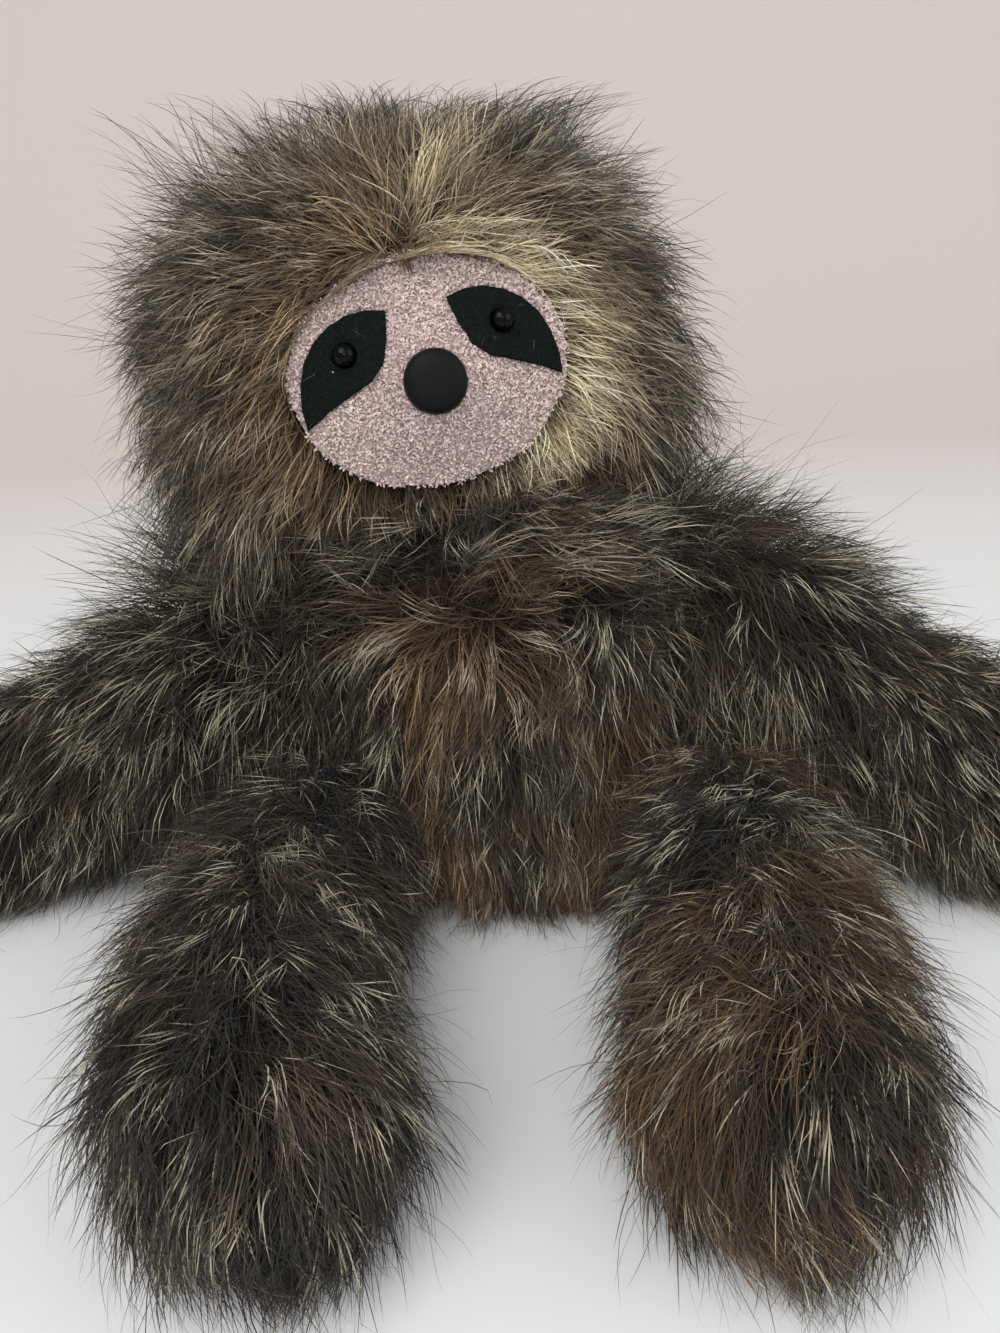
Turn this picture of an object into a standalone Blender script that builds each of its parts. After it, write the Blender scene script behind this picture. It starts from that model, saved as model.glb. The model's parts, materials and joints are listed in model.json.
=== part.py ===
"""Plush sloth that sits with its legs forward and its arms spread on the table.

Every size is real and in metres. The toy faces -Y, +Z is up, and the origin is on the table under
the middle of the body. The outer surface of each cover is the level at which its long pile is dense,
so a cover's wall is the backing cloth and the pile together. Left and right are the toy's own.
"""

from collections import namedtuple
from math import cos, pi, radians, sin

import bmesh
import bpy
from mathutils import Matrix, Vector

# Clearances and cuts
SEAT_GAP = 0.0003
FILL_GAP = 0.0004
FLOOR_CUT = 0.0005
OVERRUN = 0.030
LAYER_CREASE = 40.0
MERGE_DISTANCE = 0.00001

# Body
BODY_HEIGHT = 0.160
BODY_HALF_WIDTH = 0.084
BODY_HALF_DEPTH = 0.067
BODY_WALL = 0.021
SEAT_WALL = 0.010
BODY_LEAN = 0.018
PELLET_DEPTH = 0.034
# Rows of height, width and depth, from the seat to the neck
BODY_SHARES = (
    (0.00, 0.30, 0.30),
    (0.00, 0.62, 0.62),
    (0.05, 0.88, 0.86),
    (0.20, 0.99, 1.00),
    (0.38, 1.00, 1.00),
    (0.56, 0.86, 0.92),
    (0.72, 0.66, 0.78),
    (0.86, 0.52, 0.62),
    (0.96, 0.34, 0.42),
    (1.00, 0.18, 0.22),
)

# Neck: the body ends in a dome that the head sits on and turns about. Its centre lies below the
# body's top, a little to the toy's right of the body's middle and in front of it
NECK_DROP = 0.054
NECK_SIDE_SHIFT = 0.008
NECK_FORWARD = 0.008
DOME_RADIUS = 0.058
DOME_WALL = 0.026
NECK_MOUTH_RADIUS = 0.011
COLLAR_THICKNESS = 0.0015
COLLAR_SPAN = (12.0, 34.0)

# Head
HEAD_BASE = 0.051
HEAD_HEIGHT = 0.143
HEAD_HALF_WIDTH = 0.103
HEAD_HALF_DEPTH = 0.074
HEAD_SET_BACK = 0.001
HEAD_WALL = 0.024
CHIN_WALL = 0.007
HEAD_TILT = 8.6
HEAD_TURN = 9.7
HEAD_LEAN_BACK = 12.6
# Rows of height, width and depth, from the chin to the crown
HEAD_SHARES = (
    (0.00, 0.36, 0.42),
    (0.00, 0.64, 0.68),
    (0.08, 0.88, 0.88),
    (0.22, 0.99, 0.98),
    (0.42, 1.00, 1.00),
    (0.62, 0.96, 0.95),
    (0.80, 0.82, 0.82),
    (0.93, 0.57, 0.60),
    (1.00, 0.26, 0.28),
)

# Face
FACE_HEIGHT = 0.107
FACE_HALF_WIDTH = 0.049
FACE_HALF_HEIGHT = 0.039
FACE_SINK = 0.020
FACE_CROWN = 0.010
FACE_THICKNESS = 0.0025
MUZZLE_RISE = 0.004
MUZZLE_RADIUS = 0.030
MUZZLE_DROP = 0.0045
PATCH_THICKNESS = 0.0012
FACE_PADDING = 0.030
# An eye patch's outline, in halves of the face's width and height, for the side at +X
PATCH_SHARES = (
    (0.24, 0.61),
    (0.33, 0.67),
    (0.48, 0.67),
    (0.64, 0.59),
    (0.78, 0.46),
    (0.88, 0.30),
    (0.935, 0.08),
    (0.942, -0.10),
    (0.925, -0.26),
    (0.78, -0.17),
    (0.61, -0.06),
    (0.42, 0.035),
    (0.34, 0.18),
    (0.28, 0.36),
)
PATCH_CENTRE_SHARE = (0.62, 0.25)

# Safety eyes and nose, each a button on a post that a washer locks behind the face
EYE_SPREAD = 0.0275
EYE_RISE = 0.0105
EYE_RADIUS = 0.0040
EYE_DOME = 0.0036
EYE_POST_RADIUS = 0.0013
EYE_WASHER_RADIUS = 0.0055
NOSE_RADIUS = 0.0106
NOSE_DOME = 0.0062
NOSE_POST_RADIUS = 0.0020
NOSE_WASHER_RADIUS = 0.0085
WASHER_THICKNESS = 0.0012
POST_TAIL = 0.0030
RIM_THICKNESS = 0.0008
SLOPE_STEP = 0.0005

# Arms
ARM_REACH = 0.205
ARM_HALF_WIDTH = 0.042
ARM_HALF_THICKNESS = 0.042
ARM_WALL = 0.018
ARM_ROOT_RADIUS = 0.035
ARM_BEARING = 7.0
# Rows of distance from the shoulder, width, thickness, and how far the limb has come down to the table
ARM_SHARES = (
    (0.05, 0.76, 0.74, 0.02),
    (0.13, 0.76, 0.73, 0.08),
    (0.25, 0.86, 0.82, 0.25),
    (0.42, 0.97, 0.96, 0.55),
    (0.58, 1.00, 1.00, 0.80),
    (0.72, 1.00, 0.98, 0.97),
    (0.84, 0.94, 0.90, 1.00),
    (0.94, 0.72, 0.70, 1.00),
    (1.00, 0.38, 0.42, 1.00),
)

# Legs
LEG_REACH = 0.172
LEG_HALF_WIDTH = 0.045
LEG_HALF_THICKNESS = 0.042
LEG_WALL = 0.018
LEG_ROOT_RADIUS = 0.035
LEG_BEARING = -40.0
HIP_HEIGHT = 0.044
LEG_SHARES = (
    (0.05, 0.72, 0.80, 0.00),
    (0.15, 0.74, 0.82, 0.30),
    (0.30, 0.90, 0.94, 0.80),
    (0.46, 0.98, 1.00, 1.00),
    (0.64, 1.00, 1.00, 1.00),
    (0.82, 1.00, 0.96, 1.00),
    (0.94, 0.88, 0.82, 1.00),
    (1.00, 0.60, 0.58, 1.00),
)

# Limb roots: how far a root's centre stands off the body, and where its filling ends inside it
ROOT_STANDOFF = 0.024
FILL_END_SHARE = 0.80

# The blocks that cut the forms level reach past every limb
FLOOR_HALF_SIZE = BODY_HALF_WIDTH + ARM_REACH + LEG_REACH

Limb = namedtuple("Limb", "shares reach half_width half_thickness wall root_radius")
ARM = Limb(ARM_SHARES, ARM_REACH, ARM_HALF_WIDTH, ARM_HALF_THICKNESS, ARM_WALL, ARM_ROOT_RADIUS)
LEG = Limb(LEG_SHARES, LEG_REACH, LEG_HALF_WIDTH, LEG_HALF_THICKNESS, LEG_WALL, LEG_ROOT_RADIUS)

# How the toy sits: how far each shoulder lies below the body's top, its arm's swing forward, and its
# leg's swing outward
POSTURE = {
    "left": {"sign": 1, "shoulder_drop": 0.043, "arm_swing": 20.0, "leg_swing": -8.5},
    "right": {"sign": -1, "shoulder_drop": 0.057, "arm_swing": 10.0, "leg_swing": -6.0},
}

# Counts
TRUNK_SIDES = 12
LIMB_SIDES = 10
INNER_SIDES = 8
BALL_SEGMENTS = 28
COLLAR_STEPS = 4
BUTTON_STEPS = 16
FACE_RINGS = 5
FACE_SEGMENTS = 24
PATCH_RINGS = 3
DOME_STEPS = 4

# Colours
FUR_BROWN = (0.20, 0.155, 0.11)
TERRY_PINK = (0.66, 0.52, 0.53)
FELT_BLACK = (0.012, 0.018, 0.016)
BACKING_BROWN = (0.16, 0.12, 0.085)
BEAD_BLACK = (0.006, 0.006, 0.007)
NOSE_BLACK = (0.014, 0.015, 0.016)
FIBRE_WHITE = (0.82, 0.81, 0.78)
PELLET_GREY = (0.62, 0.63, 0.64)
WASHER_WHITE = (0.70, 0.70, 0.68)


def start_scene():
    """Empties the scene, and adds the collections of the parts and of the cutters."""
    for old in list(bpy.data.objects):
        bpy.data.objects.remove(old, do_unlink=True)
    made = []
    for name in ("plush_sloth", "cutters"):
        collection = bpy.data.collections.new(name)
        bpy.context.scene.collection.children.link(collection)
        made.append(collection)
    return made


PARTS, CUTTERS = start_scene()


def material(name, colour, roughness, metallic=0.0):
    """A plain finish for one kind of piece."""
    made = bpy.data.materials.new(name)
    made.use_nodes = True
    shader = made.node_tree.nodes["Principled BSDF"]
    shader.inputs["Base Color"].default_value = (*colour, 1.0)
    shader.inputs["Roughness"].default_value = roughness
    shader.inputs["Metallic"].default_value = metallic
    made.diffuse_color = (*colour, 1.0)
    return made


def add_object(name, mesh, parent, finish):
    """Links a mesh as a part, or as a cutter where it has no finish."""
    made = bpy.data.objects.new(name, mesh)
    made.parent = parent
    if finish:
        PARTS.objects.link(made)
        mesh.materials.append(finish)
    else:
        CUTTERS.objects.link(made)
        made.hide_render = True
        made.display_type = "WIRE"
    return made


def add_empty(name, place, parent=None):
    """An empty at a pivot, which carries the pieces that turn there."""
    made = bpy.data.objects.new(name, None)
    PARTS.objects.link(made)
    made.parent = parent
    made.matrix_local = place
    return made


def finish_mesh(work, name, crease=180.0):
    """Turns the working mesh into a smooth-shaded one whose faces point out."""
    bmesh.ops.recalc_face_normals(work, faces=work.faces)
    mesh = bpy.data.meshes.new(name)
    work.to_mesh(mesh)
    work.free()
    mesh.shade_smooth()
    if crease < 180.0:
        mesh.set_sharp_from_angle(angle=radians(crease))
    return mesh


def cut(target, cutter, operation="DIFFERENCE"):
    """Cuts, joins or trims a piece with another object."""
    boolean = target.modifiers.new(operation.lower() + "_" + cutter.name, "BOOLEAN")
    boolean.operation = operation
    boolean.object = cutter
    boolean.solver = "EXACT"


def row_at(shares, height_share):
    """The width and depth shares at a height, between the rows of a table."""
    for low, high in zip(shares, shares[1:]):
        if low[0] <= height_share < high[0]:
            mix = (height_share - low[0]) / (high[0] - low[0])
            return [a + (b - a) * mix for a, b in zip(low[1:], high[1:])]
    return list(shares[-1][1:])


def soft_form(name, rings, sides, parent, finish=None):
    """A swelling form: a coarse cage through oval rings, rounded by subdivision.

    Each ring is a centre, two half sizes and the directions of those and of the form's length. A
    subdivided ring draws in from its cage, so the cage is widened by the share that it loses.
    """
    fullness = (2.0 + cos(2.0 * pi / sides)) / 3.0
    work = bmesh.new()
    loops = []
    for centre, half_a, half_b, way_a, way_b, way_along in rings:
        turn = Matrix((way_a, way_b, way_along)).transposed().to_4x4()
        size = Matrix.Diagonal((half_a / fullness, half_b / fullness, 1.0, 1.0))
        place = Matrix.Translation(centre) @ turn @ size
        made = bmesh.ops.create_circle(work, segments=sides, radius=1.0, matrix=place)
        for edge in list({e for v in made["verts"] for e in v.link_edges}):
            work.edges.remove(edge)
        loops.append(made["verts"])
    for low, high in zip(loops, loops[1:]):
        for i in range(sides):
            j = (i + 1) % sides
            work.faces.new((low[i], low[j], high[j], high[i]))
    work.faces.new(list(reversed(loops[0])))
    work.faces.new(loops[-1])
    made = add_object(name, finish_mesh(work, name), parent, finish)
    rounding = made.modifiers.new("rounding", "SUBSURF")
    rounding.levels = 1
    rounding.render_levels = 1
    return made


def trunk_rings(shares, base, top, half_width, half_depth, set_back=0.0, lean=0.0):
    """Level rings of the body or the head, from its base up to its top."""
    rings = []
    for height, width, depth in shares:
        centre = Vector((-lean * height, set_back, base + (top - base) * height))
        ways = Vector((1, 0, 0)), Vector((0, 1, 0)), Vector((0, 0, 1))
        rings.append((centre, half_width * width, half_depth * depth, *ways))
    return rings


def limb_rings(limb, shares, root_height, inset=0.0):
    """Rings square to a limb that comes down from its root and lies on the table."""
    centres = []
    for along, _, thickness, down in shares:
        lying = limb.half_thickness * thickness - FLOOR_CUT
        reach = (limb.reach - inset) * along
        centres.append(Vector((reach, 0.0, (lying - root_height) * down)))
    rings = []
    side = Vector((0, 1, 0))
    for i, (_, width, thickness, _) in enumerate(shares):
        way = (centres[min(i + 1, len(centres) - 1)] - centres[max(i - 1, 0)]).normalized()
        half_a = (limb.half_width - inset) * width
        half_b = (limb.half_thickness - inset) * thickness
        rings.append((centres[i], half_a, half_b, side, way.cross(side), way))
    return rings


def every_other(shares):
    """Every other row of a table, and its last, for a plainer form inside another."""
    return shares[:-1:2] + shares[-1:]


def ball(name, centre, radius, parent, finish=None):
    """A faceted ball."""
    work = bmesh.new()
    place = Matrix.Translation(centre)
    half = BALL_SEGMENTS // 2
    bmesh.ops.create_uvsphere(work, u_segments=BALL_SEGMENTS, v_segments=half, radius=radius, matrix=place)
    return add_object(name, finish_mesh(work, name), parent, finish)


def socket_radius(radius):
    """The radius at which a faceted socket's flats clear a ball by the seat gap."""
    return (radius + SEAT_GAP) / cos(pi / BALL_SEGMENTS) ** 2


def make_collar(name, radius, parent, finish):
    """A round collar of backing cloth over a ball, about its pivot's Z axis, open in the middle.

    Returns the radius of the hollow that seats on the collar.
    """
    start, end = [radians(turn) for turn in COLLAR_SPAN]
    step = (end - start) / COLLAR_STEPS
    inner = (radius + SEAT_GAP) / (cos(pi / BALL_SEGMENTS) * cos(step / 2))
    outer = inner + COLLAR_THICKNESS
    turns = [start + step * i for i in range(COLLAR_STEPS + 1)]
    profile = [(outer * sin(t), outer * cos(t)) for t in turns]
    profile += [(inner * sin(t), inner * cos(t)) for t in reversed(turns)]
    turned(name, profile, Matrix(), parent, finish, ring=True, steps=BALL_SEGMENTS)
    return socket_radius(outer)


def slab(name, half_size, bottom, top, parent=None):
    """A wide block between two heights, to cut a form level."""
    work = bmesh.new()
    bmesh.ops.create_cube(work, size=1.0)
    size = Vector((half_size * 2, half_size * 2, top - bottom))
    bmesh.ops.scale(work, vec=size, verts=work.verts)
    bmesh.ops.translate(work, vec=(0, 0, (top + bottom) / 2), verts=work.verts)
    return add_object(name, finish_mesh(work, name), parent, None)


def turned(name, profile, place, parent, finish=None, ring=False, steps=BUTTON_STEPS):
    """A piece turned about its own Z axis, from a profile that runs down its outer side."""
    mesh = bpy.data.meshes.new(name)
    count = len(profile)
    edges = [(i, (i + 1) % count) for i in range(count if ring else count - 1)]
    mesh.from_pydata([(x, 0.0, z) for x, z in profile], edges, [])
    made = add_object(name, mesh, parent, finish)
    made.matrix_local = place
    screw = made.modifiers.new("turning", "SCREW")
    screw.steps = steps
    screw.render_steps = steps
    screw.use_merge_vertices = True
    screw.merge_threshold = MERGE_DISTANCE
    screw.use_smooth_shade = True
    return made


# Body


def body_axis_shift(height):
    """How far the leaning body's middle lies from the origin at a height."""
    return -BODY_LEAN * height / BODY_HEIGHT


def neck_centre():
    """The centre of the neck's dome."""
    height = BODY_HEIGHT - NECK_DROP
    return Vector((body_axis_shift(height) - NECK_SIDE_SHIFT, -NECK_FORWARD, height))


def root_on_body(height, bearing, sign):
    """The centre of a limb's root, which stands off the body's surface at a height and a bearing."""
    width, depth = row_at(BODY_SHARES, height / BODY_HEIGHT)
    half_a, half_b = BODY_HALF_WIDTH * width, BODY_HALF_DEPTH * depth
    turn = radians(bearing)
    point = Vector((half_a * cos(turn), half_b * sin(turn), 0.0))
    outward = Vector((cos(turn) / half_a, sin(turn) / half_b, 0.0)).normalized()
    centre = point + outward * ROOT_STANDOFF
    return Vector((sign * centre.x + body_axis_shift(height), centre.y, height))


def make_body(finishes, neck, roots, floor):
    """The body's cover, filling and pellets, with the neck's dome and a seat for each limb's root."""
    rings = trunk_rings(
        BODY_SHARES, -FLOOR_CUT, BODY_HEIGHT, BODY_HALF_WIDTH, BODY_HALF_DEPTH, lean=BODY_LEAN
    )
    cover = soft_form("body_cover", rings, TRUNK_SIDES, None, finishes["fur"])
    cut(cover, ball("neck_dome", neck, DOME_RADIUS, None), "UNION")
    inner = {}
    for name, gap, finish in (
        ("body_cavity", 0.0, None),
        ("body_stuffing", FILL_GAP, finishes["fibre"]),
        ("seat_pellet_bag", FILL_GAP, finishes["pellet"]),
    ):
        wall = BODY_WALL + gap
        rings = trunk_rings(
            every_other(BODY_SHARES),
            SEAT_WALL + gap,
            BODY_HEIGHT - wall,
            BODY_HALF_WIDTH - wall,
            BODY_HALF_DEPTH - wall,
            lean=BODY_LEAN,
        )
        inner[name] = soft_form(name, rings, INNER_SIDES, None, finish)
    level = SEAT_WALL + PELLET_DEPTH
    high = BODY_HEIGHT + OVERRUN
    cut(cover, inner["body_cavity"])
    hollow = DOME_RADIUS - DOME_WALL
    cut(cover, ball("dome_cavity", neck, hollow, None))
    cut(inner["body_stuffing"], ball("dome_filling", neck, hollow - FILL_GAP, None), "UNION")
    cut(inner["seat_pellet_bag"], slab("above_pellets", FLOOR_HALF_SIZE, level, high))
    cut(inner["body_stuffing"], slab("below_filling", FLOOR_HALF_SIZE, -OVERRUN, level + SEAT_GAP))
    mouth = [(0.0, OVERRUN * 2), (NECK_MOUTH_RADIUS, OVERRUN * 2), (NECK_MOUTH_RADIUS, 0.0), (0.0, 0.0)]
    cut(cover, turned("neck_mouth", mouth, Matrix.Translation(neck), None))
    for root in roots:
        cut(cover, root)
    cut(cover, floor)


# Limbs


def make_limb(name, parent, root_height, limb, floor, fur, fibre):
    """A limb's cover and filling. The cover's root is a ball, and it is open towards the body."""
    rings = limb_rings(limb, limb.shares, root_height)
    cover = soft_form(name + "_cover", rings, LIMB_SIDES, parent, fur)
    cut(cover, ball(name + "_root", Vector(), limb.root_radius, parent), "UNION")
    filling_end = -limb.root_radius * FILL_END_SHARE
    for kind, inset, ends, finish in (
        ("_cavity", limb.wall, (-limb.root_radius - OVERRUN, filling_end), None),
        ("_stuffing", limb.wall + FILL_GAP, (filling_end,), fibre),
    ):
        rings = limb_rings(limb, every_other(limb.shares), root_height, inset)
        _, half_a, half_b, *_ = rings[0]
        ways = Vector((0, 1, 0)), Vector((0, 0, 1)), Vector((1, 0, 0))
        straight = [(Vector((end, 0.0, 0.0)), half_a, half_b, *ways) for end in ends]
        made = soft_form(name + kind, straight + rings, INNER_SIDES, parent, finish)
        if finish is None:
            cut(cover, made)
    cut(cover, floor)


# Face


def face_rise(u, v):
    """How far the face stands forward of its edge, at a place measured from its middle."""
    inside = max(0.0, 1.0 - (u / FACE_HALF_WIDTH) ** 2 - (v / FACE_HALF_HEIGHT) ** 2)
    away = (u**2 + (v + MUZZLE_DROP) ** 2) / MUZZLE_RADIUS**2
    return FACE_CROWN * inside + MUZZLE_RISE * max(0.0, 1.0 - away) ** 2


def on_face(u, v, lift=0.0):
    """A point of the face in the head's own frame, lifted forward."""
    edge = HEAD_SET_BACK - HEAD_HALF_DEPTH + FACE_SINK
    return Vector((u, edge - face_rise(u, v) - lift, FACE_HEIGHT + v))


def face_layer(name, outline, middle, rings, lift, thickness, parent, finish=None):
    """A layer that follows the face, from its front at a lift, straight back by its thickness."""
    work = bmesh.new()
    centre = work.verts.new(on_face(*middle, lift))
    loops = []
    for k in range(1, rings + 1):
        share = k / rings
        spots = [[m + (p - m) * share for p, m in zip(point, middle)] for point in outline]
        loops.append([work.verts.new(on_face(*spot, lift)) for spot in spots])
    count = len(outline)
    for i in range(count):
        j = (i + 1) % count
        work.faces.new((centre, loops[0][i], loops[0][j]))
        for low, high in zip(loops, loops[1:]):
            work.faces.new((low[i], high[i], high[j], low[j]))
    pulled = bmesh.ops.extrude_face_region(work, geom=list(work.faces))["geom"]
    moved = [piece for piece in pulled if isinstance(piece, bmesh.types.BMVert)]
    bmesh.ops.translate(work, vec=(0.0, thickness, 0.0), verts=moved)
    return add_object(name, finish_mesh(work, name, LAYER_CREASE), parent, finish)


def face_oval(grow=0.0):
    """The face's outline, grown by a clearance."""
    turns = [2 * pi * i / FACE_SEGMENTS for i in range(FACE_SEGMENTS)]
    return [((FACE_HALF_WIDTH + grow) * cos(t), (FACE_HALF_HEIGHT + grow) * sin(t)) for t in turns]


def fastened(name, spot, layers, sizes, parent, finish, washer_finish):
    """A domed button on a post, and its locking washer behind the face.

    Returns the cutter for the post's hole, and the one for the washer's and the post's room.
    """
    radius, dome, post, washer = sizes
    u, v = spot
    slope_u = (face_rise(u + SLOPE_STEP, v) - face_rise(u - SLOPE_STEP, v)) / (2 * SLOPE_STEP)
    slope_v = (face_rise(u, v + SLOPE_STEP) - face_rise(u, v - SLOPE_STEP)) / (2 * SLOPE_STEP)
    outward = Vector((-slope_u, -1.0, -slope_v)).normalized()
    back = on_face(u, v, layers) + outward * SEAT_GAP
    place = Matrix.Translation(back) @ outward.to_track_quat("Z", "Y").to_matrix().to_4x4()
    ways = [2 * pi * i / DOME_STEPS for i in range(DOME_STEPS)]
    edge_rises = [face_rise(u + washer * cos(t), v + washer * sin(t)) for t in ways]
    tilts = [slope_u * washer * cos(t) + slope_v * washer * sin(t) for t in ways]
    hollow = max(face_rise(u, v) + tilt - rise for tilt, rise in zip(tilts, edge_rises))
    locked = layers + FACE_THICKNESS + max(0.0, hollow) + SEAT_GAP * 2
    tail = locked + WASHER_THICKNESS + POST_TAIL
    turns = [pi / 2 * i / DOME_STEPS for i in range(DOME_STEPS + 1)]
    profile = [(radius * sin(t), RIM_THICKNESS + dome * cos(t)) for t in turns]
    profile += [(radius, 0.0), (post, 0.0), (post, -tail), (0.0, -tail)]
    turned(name, profile, place, parent, finish)
    hole = post + SEAT_GAP
    locked_end = locked + WASHER_THICKNESS
    profile = [(washer, -locked), (washer, -locked_end), (hole, -locked_end), (hole, -locked)]
    turned(name + "_washer", profile, place, parent, washer_finish, ring=True)
    room = washer + SEAT_GAP
    floor, end = locked_end + SEAT_GAP, tail + SEAT_GAP
    profile = [(0.0, radius), (hole, radius), (hole, -end), (0.0, -end)]
    hole_cutter = turned(name + "_hole", profile, place, parent)
    profile = [(0.0, radius), (room, radius), (room, -floor), (hole, -floor), (hole, -end), (0.0, -end)]
    return hole_cutter, turned(name + "_room", profile, place, parent)


def make_face(head, cover, stuffing, finishes):
    """The face panel, patches, eyes and nose, and the padding that the head's filling has behind them."""
    oval = face_oval()
    middle = 0.0, 0.0
    panel = face_layer(
        "face_panel", oval, middle, FACE_RINGS, 0.0, FACE_THICKNESS, head, finishes["terry"]
    )
    behind = -FACE_THICKNESS - SEAT_GAP
    padding = face_layer("face_padding", oval, middle, FACE_RINGS, behind, FACE_PADDING, head)
    cut(stuffing, padding, "UNION")
    wide = face_oval(FILL_GAP)
    opening = FACE_PADDING + FACE_THICKNESS + OVERRUN + SEAT_GAP * 2
    cut(cover, face_layer("face_opening", wide, middle, FACE_RINGS, OVERRUN, opening, head))
    sizes = NOSE_RADIUS, NOSE_DOME, NOSE_POST_RADIUS, NOSE_WASHER_RADIUS
    spot = 0.0, -MUZZLE_DROP
    hole, room = fastened("nose", spot, 0.0, sizes, head, finishes["nose"], finishes["washer"])
    cut(panel, hole)
    cut(stuffing, room)
    for side, posture in POSTURE.items():
        sign = posture["sign"]
        scaled = [(sign * u * FACE_HALF_WIDTH, v * FACE_HALF_HEIGHT) for u, v in PATCH_SHARES]
        u, v = PATCH_CENTRE_SHARE
        centre = sign * u * FACE_HALF_WIDTH, v * FACE_HALF_HEIGHT
        lift = SEAT_GAP + PATCH_THICKNESS
        name = side + "_eye_patch"
        patch = face_layer(
            name, scaled, centre, PATCH_RINGS, lift, PATCH_THICKNESS, head, finishes["felt"]
        )
        sizes = EYE_RADIUS, EYE_DOME, EYE_POST_RADIUS, EYE_WASHER_RADIUS
        spot = sign * EYE_SPREAD, EYE_RISE
        hole, room = fastened(
            side + "_eye", spot, lift, sizes, head, finishes["bead"], finishes["washer"]
        )
        cut(patch, hole)
        cut(panel, hole)
        cut(stuffing, room)


# Head


def make_head(head, hollow, finishes):
    """The head's cover and filling, whose hollow sits on the neck's collar, and its face."""
    rings = trunk_rings(
        HEAD_SHARES,
        HEAD_BASE,
        HEAD_BASE + HEAD_HEIGHT,
        HEAD_HALF_WIDTH,
        HEAD_HALF_DEPTH,
        HEAD_SET_BACK,
    )
    cover = soft_form("head_cover", rings, TRUNK_SIDES, head, finishes["fur"])
    stuffing = None
    for name, gap, finish in (
        ("head_cavity", 0.0, None),
        ("head_stuffing", FILL_GAP, finishes["fibre"]),
    ):
        wall = HEAD_WALL + gap
        rings = trunk_rings(
            every_other(HEAD_SHARES),
            HEAD_BASE + CHIN_WALL + gap,
            HEAD_BASE + HEAD_HEIGHT - wall,
            HEAD_HALF_WIDTH - wall,
            HEAD_HALF_DEPTH - wall,
            HEAD_SET_BACK,
        )
        made = soft_form(name, rings, INNER_SIDES, head, finish)
        if finish is None:
            cut(cover, made)
        else:
            stuffing = made
    make_face(head, cover, stuffing, finishes)
    seat = ball("head_seat", Vector(), hollow, head)
    cut(cover, seat)
    cut(stuffing, seat)


def make_sloth():
    """The whole toy: the body and, at its pivots, the neck's collar, the head and the four limbs."""
    finishes = {
        "fur": material("long_pile_fur", FUR_BROWN, 0.9),
        "terry": material("face_terry", TERRY_PINK, 0.95),
        "felt": material("patch_felt", FELT_BLACK, 0.9),
        "bead": material("eye_bead", BEAD_BLACK, 0.08),
        "nose": material("nose_button", NOSE_BLACK, 0.55),
        "backing": material("backing_cloth", BACKING_BROWN, 0.9),
        "fibre": material("fibre_filling", FIBRE_WHITE, 1.0),
        "pellet": material("pellet_bag", PELLET_GREY, 0.8),
        "washer": material("locking_washer", WASHER_WHITE, 0.5),
    }
    floor = slab("floor_level", FLOOR_HALF_SIZE, -OVERRUN, 0.0)
    neck = neck_centre()
    neck_pivot = add_empty("neck_pivot", Matrix.Translation(neck))
    hollow = make_collar("neck_collar", DOME_RADIUS, neck_pivot, finishes["backing"])
    posed = Matrix()
    for turn, axis in ((HEAD_TURN, "Z"), (-HEAD_TILT, "Y"), (-HEAD_LEAN_BACK, "X")):
        posed = posed @ Matrix.Rotation(radians(turn), 4, axis)
    head_pivot = add_empty("head_pivot", posed, neck_pivot)
    seats = []
    for side, posture in POSTURE.items():
        sign = posture["sign"]
        shoulder = root_on_body(BODY_HEIGHT - posture["shoulder_drop"], ARM_BEARING, sign)
        arm_heading = radians(90.0 - sign * (90.0 + posture["arm_swing"]))
        hip = root_on_body(HIP_HEIGHT, LEG_BEARING, sign)
        leg_heading = radians(-90.0 + sign * posture["leg_swing"])
        for name, limb, centre, heading in (
            (side + "_arm", ARM, shoulder, arm_heading),
            (side + "_leg", LEG, hip, leg_heading),
        ):
            place = Matrix.Translation(centre) @ Matrix.Rotation(heading, 4, "Z")
            pivot = add_empty(name + "_pivot", place)
            make_limb(name, pivot, centre.z, limb, floor, finishes["fur"], finishes["fibre"])
            seats.append(ball(name + "_seat", centre, socket_radius(limb.root_radius), None))
    make_body(finishes, neck, seats, floor)
    make_head(head_pivot, hollow, finishes)


make_sloth()
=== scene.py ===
"""Looks of the seated plush sloth: its fur, face, eyes and nose, and the studio round it.

Every size is in metres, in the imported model's frame. The fur is made of tapered strands that grow
in locks from a skin under each cover. Each strand is combed along its form, sags, and stops at the
table.
"""

import json
from collections import namedtuple
from math import cos, pi, radians, sin

import bpy
import numpy as np
from mathutils import Matrix, Vector


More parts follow.
